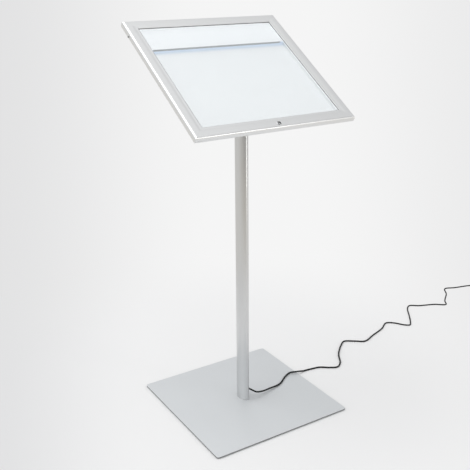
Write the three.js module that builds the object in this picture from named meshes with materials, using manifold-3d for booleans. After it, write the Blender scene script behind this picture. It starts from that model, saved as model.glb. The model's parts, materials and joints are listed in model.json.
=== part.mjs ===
// Floor-standing illuminated menu display: a square steel base, an oval aluminium post and a tilted,
// back-lit aluminium case whose glazed door is hinged along its top edge and locked at its low edge.
// Millimetres, +Z up, front towards -Y. The origin lies on the floor under the middle of the base.
import * as THREE from "three";
import { mergeVertices } from "three/addons/utils/BufferGeometryUtils.js";
import Module from "manifold-3d";

const wasm = await Module();
wasm.setup();

// Fits
const seat = 0.3; // gap kept between pieces that touch
const turnClear = 0.3; // radial clearance round a pin, screw or plug
const overrun = 2; // how far a cutter passes the surface that it cuts

// Base plate, its pads and the post's fixing screws
const baseSide = 450;
const baseThick = 4;
const baseCornerRound = 8;
const baseEdgeChamfer = 0.5;
const padRadius = 12;
const padThick = 1.2;
const padInset = 30;
const footInsertHeight = 15;
const footScrewRadius = 3;
const footScrewHeadRadius = 5.6;
const footScrewHeadDepth = 2.8;
const footScrewLength = 16;
const footScrewSpread = 13; // half the distance between the two screws, along Y
const headSink = 0.3; // how far the countersunk heads lie inside the plate

// Post
const postWidth = 29;
const postDepth = 53;
const postWall = 2;

// Case: its place, size and slope
const caseWidth = 488;
const caseLength = 462; // up the slope
const caseReach = 186; // from the post's axis forward to the low edge of the face
const caseLowHeight = 881.5; // floor to the low edge of the face
const tilt = THREE.MathUtils.degToRad(32.2);

// Door rail section, from its outer edge inwards and from the face down
const railWidth = 35;
const railDepth = 15.5;
const railWall = 2;
const railFlange = 2.6;
const railEdgeRound = 6;
const outerFlat = 18;
const middleBead = 9;
const stepDrop = 0.6;
const beadCrown = 0.3;
const lipWidth = 5;
const lipDepth = 3.6;
const lipRound = 1;
const mitreGap = 0.15; // on each side of a mitre
const keyThick = 2.5;
const keyInset = 6.3;
const keyWidth = 10;
const keyReach = 51;

// Door glazing
const gasketThick = 0.8;
const gasketInset = 30.5;
const gasketWidth = 4.1;
const paneThick = 2;
const paneInset = 30;
const retainerInset = 25;
const retainerWidth = 8;
const retainerThick = 1.5;
const retainerUpstand = 2;

// Tray section and place
const traySideInset = 24;
const trayLowInset = 26;
const trayTopInset = 16;
const trayRimDepth = 11;
const trayWall = 2;
const ledgeReach = 9;
const ledgeThick = 2.9;
const trayFlange = 1.5;
const backSheet = 1.5;

// Light panel and header
const headerGap = 0.6; // under the door's retainer
const headerSheet = 1.5;
const headerRise = 12.2; // above the light panel
const headerLength = 92.3; // along the slope
const headerTopInset = 25; // from the case's top edge
const headerEndGap = 2;
const trimLength = 404;
const trimThick = 2;
const trimHeight = 4.5;
const diffuserThick = 2;
const guideThick = 3;
const reflectorThick = 0.5;
const panelLap = 7.3; // how far the light panel runs in under the header
const stripThick = 1.2;
const diodeCount = 22;
const diodeWidth = 5;
const diodeHeight = 2.4;
const diodeDepth = 1;
const driverLength = 120;
const driverWidth = 44;
const driverHeight = 15;
const driverSetback = 27.3; // from the header's front
const driverRound = 3;
const driverFoot = 2; // thickness of the driver's end tabs
const driverTab = 10;

// Post head: the tilted bracket, its bolts and the backing plate inside the tray
const bracketWidth = 200;
const bracketLength = 130;
const bracketThick = 4;
const bracketRound = 8;
const bracketShift = 16; // its middle, up the slope from the post's axis
const headPlugLength = 60;
const backingThick = 2.5;
const boltRadius = 3;
const boltHeadRadius = 5.2;
const boltHeadHeight = 3.2;
const boltSocketRadius = 2;
const boltSocketDepth = 1.8;
const boltInset = 20; // from the bracket's edges

// Lock
const lockPlace = 13; // its axis, up the slope
const lockSide = 2.2; // its axis, right of the middle
const lockHeadRadius = 6.5;
const lockHeadHeight = 1.2;
const lockSleeveRadius = 5.4;
const lockSleeveLength = 11;
const lockPlugRadius = 4.2;
const lockPlugLength = 14.7;
const lockCollarRadius = 5;
const lockDishRadius = 5.5; // where the head's dish begins
const lockPlugSink = 0.3; // the plug's end, below the face
const keySlotLength = 5.4;
const keySlotWidth = 1.9;
const keySlotShift = 1.7; // off the plug's axis, towards its low side
const keySlotDepth = 4;
const keySlotTurn = THREE.MathUtils.degToRad(30); // from up the slope towards the left
const lockNutRadius = 7; // to its flats
const lockNutHeight = 3;
const camThick = 2;
const camHubRadius = 5.5;
const camReach = 18.5;
const camWidth = 8;
const camScrewRadius = 1.7;
const camScrewHeadRadius = 3.4;
const camScrewHeadHeight = 1.5;
const camScrewLength = 6;
const camRoom = 0.9; // round the cam in the tray's slot

// Door hinges
const hingeInset = 22; // axis, from the case's top edge
const hingeDepth = 17.5; // axis, below the face
const leafThick = 2;
const leafDown = 37; // from the axis to its low end
const leafUp = 12; // from the axis to its high end
const leafDrop = 4; // from the axis to its lowest edge
const leafCorner = 4;
const leafBend = 13; // below the face, where it turns inwards
const leafFootDepth = 15; // below the face, the low edge of its foot
const leafSet = 4; // how far inwards it turns before it hangs down to the pin
const tongueReach = 16; // the hanging part, from the axis towards the low end
const hingeScrewInset = 7; // from the leaf's low end
const hingeScrewDepth = 12; // below the face
const hingeScrewRadius = 1.5;
const hingeScrewHeadRadius = 2.8;
const hingeScrewHeadHeight = 2.2;
const hingeScrewTip = 2; // past the leaf
const hingeSocketRadius = 1.1;
const hingeSocketDepth = 1;
const hingePinRadius = 2.5;
const hingeShoulderRadius = 4.5;
const hingeHeadRadius = 4;
const hingeHeadThick = 1.5;

// Mains lead, its grommet and its inner run
const cordRadius = 2.5;
const cordHeight = 28; // where it leaves the post
const grommetFlange = 1.2;
const grommetFlangeRadius = 6;
const grommetNeckRadius = 4.2;
const plugBoreRadius = 6;
const connectorRadius = 5.4;
const connectorLength = 34;
const connectorNoseRadius = 3.5;
const connectorNose = 6;
const leadRadius = 1.2;
const leadSlotWidth = 4;
const backHoleRadius = 8;

// The lead on the floor: hand-chosen points, then a coil put away and a plug-in power supply
const floorLine = cordRadius + 0.1;
const cordRoute = [
  [19, 0, 27.8],
  [25, -6, 24.5],
  [38, -19, 18],
  [60, -21, 14.5],
  [90, -15.5, 11.5],
  [120, -10.5, 9],
  [140, -4, 8.4],
  [176, 21, 8.4],
  [203, 32, 8.8],
  [222, 25, 9.6],
  [238, 23, 7.4],
  [252, 24, 3.6],
  [266, 24, 2.75],
  [288, 21, 2.6],
  [312, 16, 2.6],
  [340, -4, 2.6],
  [364, -15, 2.6],
  [391, 3, 2.6],
  [422, 49, 2.6],
  [473, 97, 2.6],
  [500, 113, 2.6],
  [532, 94, 2.6],
  [562, 74, 2.6],
  [619, 93, 2.6],
  [680, 114, 2.6],
  [727, 140, 2.6],
  [752, 122, 2.6],
  [771, 92, 2.6],
  [788, 80, 2.6],
  [808, 97, 2.6],
  [842, 138, 2.6],
  [884, 190, 2.6],
  [908, 203, 2.6],
  [938, 183, 2.6],
  [998, 158, 2.6],
  [1034, 133, 2.6],
  [1058, 160, 2.6],
  [1112, 203, 2.6],
  [1148, 243, 2.6],
  [1188, 229, 2.6],
  [1259, 209, 2.6],
];
const coilCentre = [1274, 158];
const coilMiddleRadius = 27.5;
const coilPitch = 5.6; // from one turn to the next, and from one layer to the next
const coilTurns = 5;
const coilStart = THREE.MathUtils.degToRad(57);
const coilTail = 24; // straight run from the coil to the supply
const supplyLength = 74;
const supplyWidth = 44;
const supplyHeight = 30;
const supplyRound = 6;
const supplyChamfer = 1.5;
const supplyPinRadius = 2.2;
const supplyPinLength = 19;
const supplyPinSpacing = 19;
const supplyPinPlace = 24; // from the supply's far end
const reliefLength = 24;
const reliefRadius = 4.6;
const reliefTipRadius = 3.4;

// Roundness, as counts
const ovalSides = 40;
const turnSides = 24;
const smallSides = 16;
const arcSteps = 4;
const cordSides = 8;
const cordSteps = 80;
const loopSteps = 24;
const loopSides = 6;

// Levels in the case, measured out of its face and so negative inside it
const gasketTop = -lipDepth - seat;
const paneTop = gasketTop - gasketThick - seat;
const retainerTop = paneTop - paneThick - seat;
const retainerLow = retainerTop - retainerThick;
const headerTop = retainerLow - headerGap;
const headerLow = headerTop - headerSheet;
const diffuserTop = headerTop - headerRise;
const diffuserLow = diffuserTop - diffuserThick;
const guideTop = diffuserLow - seat;
const guideLow = guideTop - guideThick;
const reflectorTop = guideLow - seat;
const reflectorLow = reflectorTop - reflectorThick;
const ledgeTop = reflectorLow - seat;
const ledgeLow = ledgeTop - ledgeThick;
const backTop = ledgeLow - seat;
const backLow = backTop - backSheet;
const flangeTop = backLow - seat;
const trayLow = flangeTop - trayFlange;
const bracketTop = backLow - seat;
const bracketLow = bracketTop - bracketThick;
const backingLow = backTop + seat;

// Places shared by several pieces
const baseLow = padThick + seat;
const baseTop = baseLow + baseThick;
const trayWidth = caseWidth - 2 * traySideInset;
const trayLength = caseLength - trayLowInset - trayTopInset;
const trayRoom = trayWidth / 2 - trayWall - seat; // half the clear width inside the tray
const trayRoomLow = trayLowInset + trayWall + seat;
const trayRoomTop = caseLength - trayTopInset - trayWall - seat;
const camTop = -lockPlugLength - seat;
const cordRoot = postWidth / 2 + 2 * seat + grommetFlange;

// Height above the floor, and station up the slope, of a level of the case at a place along Y
const slopeHeight = (level, y) =>
  caseLowHeight + (level + (y + caseReach) * Math.sin(tilt)) / Math.cos(tilt);
const slopeStation = (level, y) =>
  (y + caseReach) * Math.cos(tilt) + (slopeHeight(level, y) - caseLowHeight) * Math.sin(tilt);

const hingePlace = caseLength - hingeInset;
const hingeScrewPlace = hingePlace - leafDown + hingeScrewInset;
const headerRear = caseLength - headerTopInset;
const headerFront = headerRear - headerLength;
const panelTop = headerFront + panelLap;
const driverPlace = headerFront + driverSetback;
const bracketPlace = slopeStation(bracketTop, 0) + bracketShift;

// Materials
const finish = (color, roughness, metalness, more = {}) =>
  new THREE.MeshStandardMaterial({ color, roughness, metalness, ...more });
const anodised = finish(0xd3d6d7, 0.38, 0.85);
const coatedSteel = finish(0xc9ccce, 0.45, 0.4);
const bareSteel = finish(0xa9abad, 0.35, 0.9);
const chromed = finish(0xdadcde, 0.12, 1);
const whiteSheet = finish(0xf4f6f8, 0.5, 0);
const opal = finish(0xf3f7fb, 0.3, 0, { emissive: 0xdfe9f2, emissiveIntensity: 0.6 });
const clearSheet = finish(0xf2f7fa, 0.05, 0, { transparent: true, opacity: 0.2 });
const guideSheet = finish(0xeaf4f8, 0.1, 0, { transparent: true, opacity: 0.6 });
const diodeBoard = finish(0xfbf6dd, 0.6, 0);
const darkTrim = finish(0x8b9093, 0.6, 0.1);
const blackRubber = finish(0x202224, 0.75, 0);
const blackPlastic = finish(0x1b1c1e, 0.45, 0);
const whitePlastic = finish(0xe9ebec, 0.5, 0);

// Solids: from geometry, joined, cut and back to geometry
function solidOf(geometry) {
  const bare = geometry.index ? geometry.toNonIndexed() : geometry.clone();
  bare.deleteAttribute("normal");
  bare.deleteAttribute("uv");
  const merged = mergeVertices(bare);
  return new wasm.Manifold(
    new wasm.Mesh({
      numProp: 3,
      vertProperties: merged.attributes.position.array,
      triVerts: new Uint32Array(merged.index.array),
    }),
  );
}

function geometryOf(solid) {
  const mesh = solid.getMesh();
  const geometry = new THREE.BufferGeometry();
  geometry.setAttribute("position", new THREE.BufferAttribute(mesh.vertProperties, 3));
  geometry.setIndex(new THREE.BufferAttribute(mesh.triVerts, 1));
  geometry.computeVertexNormals();
  return geometry;
}

const cut = (geometry, ...tools) =>
  geometryOf(tools.reduce((body, tool) => body.subtract(solidOf(tool)), solidOf(geometry)));

const join = (geometry, ...others) =>
  geometryOf(others.reduce((body, other) => body.add(solidOf(other)), solidOf(geometry)));

// Outlines and the shapes drawn from them
function outline(points, ...holes) {
  const shape = new THREE.Shape(points.map(([a, b]) => new THREE.Vector2(a, b)));
  for (const hole of holes) {
    shape.holes.push(new THREE.Path(hole.map(([a, b]) => new THREE.Vector2(a, b))));
  }
  return shape;
}

function arc(middleA, middleB, radius, from, to, steps = arcSteps) {
  return Array.from({ length: steps + 1 }, (_, i) => {
    const angle = from + ((to - from) * i) / steps;
    return [middleA + radius * Math.cos(angle), middleB + radius * Math.sin(angle)];
  });
}

function oval(halfA, halfB, sides = ovalSides) {
  return Array.from({ length: sides }, (_, i) => {
    const angle = (2 * Math.PI * i) / sides;
    return [halfA * Math.cos(angle), halfB * Math.sin(angle)];
  });
}

function roundedBox(lowA, highA, lowB, highB, radius) {
  const quarter = Math.PI / 2;
  return [
    ...arc(highA - radius, lowB + radius, radius, -quarter, 0),
    ...arc(highA - radius, highB - radius, radius, 0, quarter),
    ...arc(lowA + radius, highB - radius, radius, quarter, 2 * quarter),
    ...arc(lowA + radius, lowB + radius, radius, 2 * quarter, 3 * quarter),
  ];
}

const box = (lowA, highA, lowB, highB) => [
  [lowA, lowB],
  [highA, lowB],
  [highA, highB],
  [lowA, highB],
];

// A slab with the given outline between two levels of Z
const slab = (shape, low, high) =>
  new THREE.ExtrudeGeometry(shape, { depth: high - low, bevelEnabled: false }).translate(0, 0, low);

const block = (lowX, highX, lowY, highY, low, high) =>
  slab(outline(box(lowX, highX, lowY, highY)), low, high);

// A turned piece about Z. Its profile is [radius, height] points from the axis or closed on itself.
const turned = (profile, sides = turnSides) =>
  new THREE.LatheGeometry(
    profile.map(([radius, height]) => new THREE.Vector2(radius, height)),
    sides,
  ).rotateX(Math.PI / 2);

const rod = (radius, low, high, sides = smallSides) =>
  new THREE.CylinderGeometry(radius, radius, high - low, sides)
    .rotateX(Math.PI / 2)
    .translate(0, 0, (low + high) / 2);

// A ring of sheet whose outer edge is set in from the case's outline
function sheetRing(inset, width, low, high) {
  const ringBox = (edge) =>
    box(-caseWidth / 2 + edge, caseWidth / 2 - edge, edge, caseLength - edge);
  return slab(outline(ringBox(inset), ringBox(inset + width).reverse()), low, high);
}

// A round cable along a curve
const cable = (curve, radius, steps, sides = cordSides) =>
  new THREE.ExtrudeGeometry(outline(oval(radius, radius, sides)), {
    extrudePath: curve,
    steps,
    bevelEnabled: false,
  });

const curveThrough = (points) =>
  new THREE.CatmullRomCurve3(points.map(([x, y, z]) => new THREE.Vector3(x, y, z)));

// Groups and named meshes
const root = new THREE.Group();
const caseGroup = new THREE.Group();
caseGroup.position.set(0, -caseReach, caseLowHeight);
caseGroup.rotation.x = tilt;
const doorGroup = new THREE.Group();
caseGroup.add(doorGroup);
root.add(caseGroup);

function add(group, name, geometry, material) {
  const mesh = new THREE.Mesh(geometry, material);
  mesh.name = name;
  group.add(mesh);
  return mesh;
}

// Base plate with countersunk holes, standing on four pads
function addBase() {
  const half = baseSide / 2;
  const edge = outline(roundedBox(-half, half, -half, half, baseCornerRound));
  const plate = new THREE.ExtrudeGeometry(edge, {
    depth: baseThick - 2 * baseEdgeChamfer,
    bevelThickness: baseEdgeChamfer,
    bevelSize: baseEdgeChamfer,
    bevelOffset: -baseEdgeChamfer,
    bevelSegments: 1,
  }).translate(0, 0, baseLow + baseEdgeChamfer);
  const holeRadius = footScrewRadius + turnClear;
  const sinkRadius = footScrewHeadRadius + turnClear;
  const sinkTop = baseLow + headSink + footScrewHeadDepth + turnClear;
  const sink = turned([
    [0, baseLow - overrun],
    [sinkRadius, baseLow - overrun],
    [sinkRadius, baseLow + headSink],
    [holeRadius, sinkTop],
    [holeRadius, baseTop + overrun],
    [0, baseTop + overrun],
  ]);
  const holes = [-1, 1].map((side) => sink.clone().translate(0, side * footScrewSpread, 0));
  add(root, "base_plate", cut(plate, ...holes), coatedSteel);

  const reach = half - padInset;
  const corners = { front_left: [-1, -1], front_right: [1, -1], rear_left: [-1, 1], rear_right: [1, 1] };
  for (const [corner, [x, y]] of Object.entries(corners)) {
    const pad = add(root, "base_pad_" + corner, rod(padRadius, 0, padThick, turnSides), blackRubber);
    pad.position.set(x * reach, y * reach, 0);
  }
}

// Oval post, cut at its head to the case's slope
function addPost() {
  const low = baseTop + seat;
  const outer = oval(postWidth / 2, postDepth / 2);
  const inner = oval(postWidth / 2 - postWall, postDepth / 2 - postWall).reverse();
  const tube = slopedColumn(outline(outer, inner), low, bracketLow - seat);
  const hole = rod(grommetNeckRadius + turnClear, 0, postWidth)
    .rotateY(Math.PI / 2)
    .translate(0, 0, cordHeight);
  add(root, "post_tube", cut(tube, hole), anodised);

  const insertHalf = (size) => size / 2 - postWall - seat;
  const insert = slab(
    outline(oval(insertHalf(postWidth), insertHalf(postDepth))),
    low,
    low + footInsertHeight,
  );
  const screwHoles = [-1, 1].map((side) =>
    rod(footScrewRadius + turnClear, baseLow, low + footInsertHeight + overrun)
      .translate(0, side * footScrewSpread, 0),
  );
  add(root, "post_foot_insert", cut(insert, ...screwHoles), bareSteel);

  const headLow = baseLow + headSink;
  const screw = turned(
    [
      [0, headLow],
      [footScrewHeadRadius, headLow],
      [footScrewRadius, headLow + footScrewHeadDepth],
      [footScrewRadius, headLow + footScrewLength],
      [0, headLow + footScrewLength],
    ],
    smallSides,
  );
  for (const [place, side] of [["front", -1], ["rear", 1]]) {
    const mesh = add(root, "foot_screw_" + place, screw, bareSteel);
    mesh.position.y = side * footScrewSpread;
  }
}

// A column that stands on one level and is cut at its head by a level of the case
function slopedColumn(shape, low, level) {
  const column = new THREE.ExtrudeGeometry(shape, { depth: 1, bevelEnabled: false });
  const place = column.attributes.position;
  for (let i = 0; i < place.count; i++) {
    place.setZ(i, place.getZ(i) > 0 ? slopeHeight(level, place.getY(i)) : low);
  }
  return column;
}

// A piece drawn in the case's own directions, turned into the part's
const inCase = (geometry) =>
  geometry.rotateX(tilt).translate(0, -caseReach, caseLowHeight);

const boltPlaces = () => {
  const acrossX = bracketWidth / 2 - boltInset;
  const acrossY = bracketLength / 2 - boltInset;
  return {
    low_left: [-acrossX, bracketPlace - acrossY],
    low_right: [acrossX, bracketPlace - acrossY],
    high_left: [-acrossX, bracketPlace + acrossY],
    high_right: [acrossX, bracketPlace + acrossY],
  };
};

const bracketOutline = () =>
  outline(
    roundedBox(
      -bracketWidth / 2,
      bracketWidth / 2,
      bracketPlace - bracketLength / 2,
      bracketPlace + bracketLength / 2,
      bracketRound,
    ),
  );

const boltHoles = (low, high) =>
  Object.values(boltPlaces()).map(([x, y]) =>
    rod(boltRadius + turnClear, low - overrun, high + overrun).translate(x, y, 0),
  );

// Tilted bracket whose plug fills the post's head, with its bolts and the backing plate
function addPostHead() {
  const plate = cut(slab(bracketOutline(), bracketLow, bracketTop), ...boltHoles(bracketLow, bracketTop));
  const plugHalf = (size) => size / 2 - postWall - seat;
  const plugFoot = slopeHeight(bracketLow, 0) - headPlugLength;
  const plug = slopedColumn(
    outline(oval(plugHalf(postWidth), plugHalf(postDepth))),
    plugFoot,
    (bracketLow + bracketTop) / 2,
  );
  const bore = rod(plugBoreRadius, plugFoot - overrun, slopeHeight(bracketTop, 0) + overrun + bracketThick);
  add(root, "post_head_bracket", cut(join(inCase(plate), plug), bore), coatedSteel);

  const shankTop = backingLow + backingThick;
  const headTop = bracketLow - seat;
  const headLow = headTop - boltHeadHeight;
  const bolt = cut(
    turned(
      [
        [0, headLow],
        [boltHeadRadius - boltHeadHeight / 2, headLow],
        [boltHeadRadius, headLow + boltHeadHeight / 2],
        [boltHeadRadius, headTop],
        [boltRadius, headTop],
        [boltRadius, shankTop],
        [0, shankTop],
      ],
      smallSides,
    ),
    new THREE.CylinderGeometry(boltSocketRadius, boltSocketRadius, 2 * boltSocketDepth, 6)
      .rotateX(Math.PI / 2)
      .translate(0, 0, headLow),
  );
  for (const [place, [x, y]] of Object.entries(boltPlaces())) {
    add(caseGroup, "bracket_bolt_" + place, bolt, bareSteel).position.set(x, y, 0);
  }

  const leadHole = slopeStation(backTop, 0);
  const backingTop = backingLow + backingThick;
  const slot = block(
    -leadSlotWidth / 2,
    leadSlotWidth / 2,
    leadHole,
    bracketPlace + bracketLength / 2 + overrun,
    backingLow - overrun,
    backingTop + overrun,
  );
  const hole = rod(backHoleRadius, backingLow - overrun, backingTop + overrun).translate(0, leadHole, 0);
  add(
    caseGroup,
    "backing_plate",
    cut(slab(bracketOutline(), backingLow, backingTop), ...boltHoles(backingLow, backingTop), hole, slot),
    bareSteel,
  );
}

// A straight rail with mitred ends: its section is drawn as [inwards from the outer edge, level]
function mitredRail(section, length) {
  const rail = new THREE.ExtrudeGeometry(outline(section), { depth: 1, bevelEnabled: false });
  const place = rail.attributes.position;
  for (let i = 0; i < place.count; i++) {
    const inwards = place.getX(i);
    const level = place.getY(i);
    const reach = length / 2 - inwards - mitreGap;
    place.setXYZ(i, place.getZ(i) > 0 ? reach : -reach, inwards, level);
  }
  return rail;
}

// The four sides of a rectangular frame, each as [name, turn, length, x, y of its outer edge]
const frameSides = (width, length, lowEdge) => [
  ["bottom", 0, width, 0, lowEdge],
  ["right", Math.PI / 2, length, width / 2, lowEdge + length / 2],
  ["top", Math.PI, width, 0, lowEdge + length],
  ["left", -Math.PI / 2, length, -width / 2, lowEdge + length / 2],
];

// Section of a door rail: side wall, rounded edge, flat, two stepped beads and the glazing lip
function doorSection() {
  const bead = (from, to, level) =>
    [1, 2, 3].map((i) => {
      const share = i / 4;
      return [from + (to - from) * share, level + beadCrown * Math.sin(Math.PI * share)];
    });
  const secondStep = outerFlat + middleBead;
  const firstLevel = -stepDrop;
  const secondLevel = -2 * stepDrop;
  return [
    [0, -railDepth],
    [railWall, -railDepth],
    [railWall, -railFlange],
    [railWidth - lipWidth, -railFlange],
    [railWidth - lipWidth, -lipDepth],
    [railWidth, -lipDepth],
    ...arc(railWidth - lipRound, secondLevel - lipRound, lipRound, 0, Math.PI / 2, 2),
    ...bead(secondStep, railWidth - lipRound, secondLevel).reverse(),
    [secondStep, secondLevel],
    [secondStep, firstLevel],
    ...bead(outerFlat, secondStep, firstLevel).reverse(),
    [outerFlat, firstLevel],
    [outerFlat, 0],
    ...arc(railEdgeRound, -railEdgeRound, railEdgeRound, Math.PI / 2, Math.PI),
  ];
}

// Door: four mitred rails on corner keys, gasket, clear pane and the frame that holds it in
function addDoor() {
  for (const [side, turn, length, x, y] of frameSides(caseWidth, caseLength, 0)) {
    let geometry = mitredRail(doorSection(), length);
    if (side === "bottom") {
      const hole = rod(lockSleeveRadius + turnClear, -railDepth, overrun, turnSides);
      geometry = cut(geometry, hole.translate(lockSide, lockPlace, 0));
    }
    if (side === "right" || side === "left") {
      const along = hingeScrewPlace - caseLength / 2;
      const hole = rod(hingeScrewRadius + turnClear, -overrun, railWall + overrun)
        .rotateX(-Math.PI / 2)
        .translate(side === "right" ? along : -along, 0, -hingeScrewDepth);
      geometry = cut(geometry, hole);
    }
    const mesh = add(doorGroup, "door_rail_" + side, geometry, anodised);
    mesh.rotation.z = turn;
    mesh.position.set(x, y, 0);
  }

  const keyTop = -railFlange - seat;
  const far = keyInset + keyWidth;
  const key = outline([
    [keyInset, keyInset],
    [keyReach, keyInset],
    [keyReach, far],
    [far, far],
    [far, keyReach],
    [keyInset, keyReach],
  ]);
  const corners = [
    ["low_left", 0, -caseWidth / 2, 0],
    ["low_right", Math.PI / 2, caseWidth / 2, 0],
    ["high_right", Math.PI, caseWidth / 2, caseLength],
    ["high_left", -Math.PI / 2, -caseWidth / 2, caseLength],
  ];
  for (const [corner, turn, x, y] of corners) {
    const mesh = add(doorGroup, "door_key_" + corner, slab(key, keyTop - keyThick, keyTop), bareSteel);
    mesh.rotation.z = turn;
    mesh.position.set(x, y, 0);
  }

  const gasket = sheetRing(gasketInset, gasketWidth, gasketTop - gasketThick, gasketTop);
  add(doorGroup, "glazing_gasket", gasket, whitePlastic);

  const paneReach = caseWidth / 2 - paneInset;
  const pane = block(-paneReach, paneReach, paneInset, caseLength - paneInset, paneTop - paneThick, paneTop);
  add(doorGroup, "glazing_pane", pane, clearSheet);

  const retainer = join(
    sheetRing(retainerInset, retainerWidth, retainerLow, retainerTop),
    sheetRing(retainerInset, retainerUpstand, retainerLow, -railFlange - seat),
  );
  add(doorGroup, "glazing_retainer", retainer, whitePlastic);
}

// Lock: sleeve and nut fixed in the door's low rail, and the plug, cam and screw that turn
function addLock() {
  const lock = new THREE.Group();
  lock.position.set(lockSide, lockPlace, 0);
  doorGroup.add(lock);

  const boreRadius = lockPlugRadius + turnClear;
  const headTop = seat + lockHeadHeight;
  const sleeve = turned([
    [boreRadius, -lockSleeveLength],
    [lockSleeveRadius, -lockSleeveLength],
    [lockSleeveRadius, seat],
    [lockHeadRadius, seat],
    [lockHeadRadius, headTop - lockHeadHeight / 2],
    [lockHeadRadius - lockHeadHeight / 2, headTop],
    [lockDishRadius, headTop],
    [boreRadius, -lockPlugSink],
    [boreRadius, -lockSleeveLength],
  ]);
  add(lock, "lock_sleeve", sleeve, chromed);

  const nutTop = -railFlange - seat;
  const nutCorner = lockNutRadius / Math.cos(Math.PI / 6);
  const nut = cut(
    rod(nutCorner, nutTop - lockNutHeight, nutTop, 6).rotateZ(Math.PI / 2),
    rod(lockSleeveRadius + turnClear, nutTop - lockNutHeight - overrun, nutTop + overrun, turnSides),
  );
  add(lock, "lock_nut", nut, bareSteel);

  const collarTop = -lockSleeveLength - seat;
  const plug = turned([
    [0, -lockPlugLength],
    [lockCollarRadius, -lockPlugLength],
    [lockCollarRadius, collarTop],
    [lockPlugRadius, collarTop],
    [lockPlugRadius, -lockPlugSink],
    [0, -lockPlugSink],
  ]);
  const keySlot = block(
    -keySlotShift - keySlotWidth / 2,
    keySlotWidth / 2 - keySlotShift,
    -keySlotLength / 2,
    keySlotLength / 2,
    -lockPlugSink - keySlotDepth,
    overrun - lockPlugSink,
  ).rotateZ(keySlotTurn);
  const screwHole = rod(camScrewRadius + turnClear, -lockPlugLength - overrun, camTop - camThick + camScrewLength);
  add(lock, "lock_plug", cut(plug, keySlot, screwHole), chromed);

  const camLow = camTop - camThick;
  const arm = outline([
    ...arc(0, 0, camHubRadius, Math.PI / 4, (7 * Math.PI) / 4, 3 * arcSteps),
    ...arc(camReach - camWidth / 2, 0, camWidth / 2, -Math.PI / 2, Math.PI / 2),
  ]);
  const camHole = rod(camScrewRadius + turnClear, camLow - overrun, camTop + overrun);
  add(lock, "lock_cam", cut(slab(arm, camLow, camTop), camHole), bareSteel);

  const screwHead = camLow - seat;
  const screw = turned(
    [
      [0, screwHead - camScrewHeadHeight],
      [camScrewHeadRadius, screwHead - camScrewHeadHeight],
      [camScrewHeadRadius, screwHead],
      [camScrewRadius, screwHead],
      [camScrewRadius, screwHead + camScrewLength],
      [0, screwHead + camScrewLength],
    ],
    smallSides,
  );
  add(lock, "cam_screw", screw, bareSteel);
}

// Hinge leaf: a plate screwed to the door's side wall, bent inwards and down to take the pin.
// Drawn as [up the slope, level] with its thickness from the wall inwards.
function hingeLeaf(sign) {
  const leafTop = -railFlange - 2 * seat;
  const leafFoot = hingePlace - leafDown;
  const leafHead = hingePlace + leafUp;
  const leafLow = -hingeDepth - leafDrop;
  const tongueFoot = hingePlace - tongueReach;
  const webTop = -leafBend + leafThick;
  const full = leafSet + leafThick;
  const layer = (points, from, to) =>
    slab(outline(points), sign < 0 ? from : full - to, sign < 0 ? to : full - from);
  const tongue = [
    [tongueFoot, webTop],
    [tongueFoot, leafLow + leafCorner],
    [tongueFoot + leafCorner, leafLow],
    [leafHead - 2 * leafCorner, leafLow],
    [leafHead, leafLow + 2 * leafCorner],
    [leafHead, webTop],
  ];
  const plate = layer(box(leafFoot, leafHead, -leafBend, leafTop), 0, leafThick);
  const foot = layer(box(leafFoot, tongueFoot, -leafFootDepth, leafTop), 0, leafThick);
  const web = layer(box(tongueFoot, leafHead, -leafBend, webTop), 0, full);
  const pinHole = rod(hingePinRadius + turnClear, -overrun, full + overrun)
    .translate(hingePlace, -hingeDepth, 0);
  const screwHole = rod(hingeScrewRadius + turnClear, -overrun, full + overrun)
    .translate(hingeScrewPlace, -hingeScrewDepth, 0);
  return cut(join(plate, foot, web, layer(tongue, leafSet, full)), pinHole, screwHole)
    .rotateY(Math.PI / 2)
    .rotateX(Math.PI / 2);
}

// Button-headed screw that holds a leaf, seen from outside. Its heights run out from the case's middle.
function hingeScrew() {
  const headLow = caseWidth / 2 + seat;
  const headTop = headLow + hingeScrewHeadHeight;
  const crown = hingeScrewHeadHeight / 2;
  const leafInner = caseWidth / 2 - railWall - seat - leafThick;
  const body = turned(
    [
      [0, leafInner - hingeScrewTip],
      [hingeScrewRadius, leafInner - hingeScrewTip],
      [hingeScrewRadius, headLow],
      [hingeScrewHeadRadius, headLow],
      [hingeScrewHeadRadius, headTop - crown],
      [hingeScrewHeadRadius - crown, headTop],
      [0, headTop],
    ],
    smallSides,
  );
  const socket = rod(hingeSocketRadius, headTop - hingeSocketDepth, headTop + overrun, 6);
  return cut(body, socket).rotateY(Math.PI / 2);
}

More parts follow.
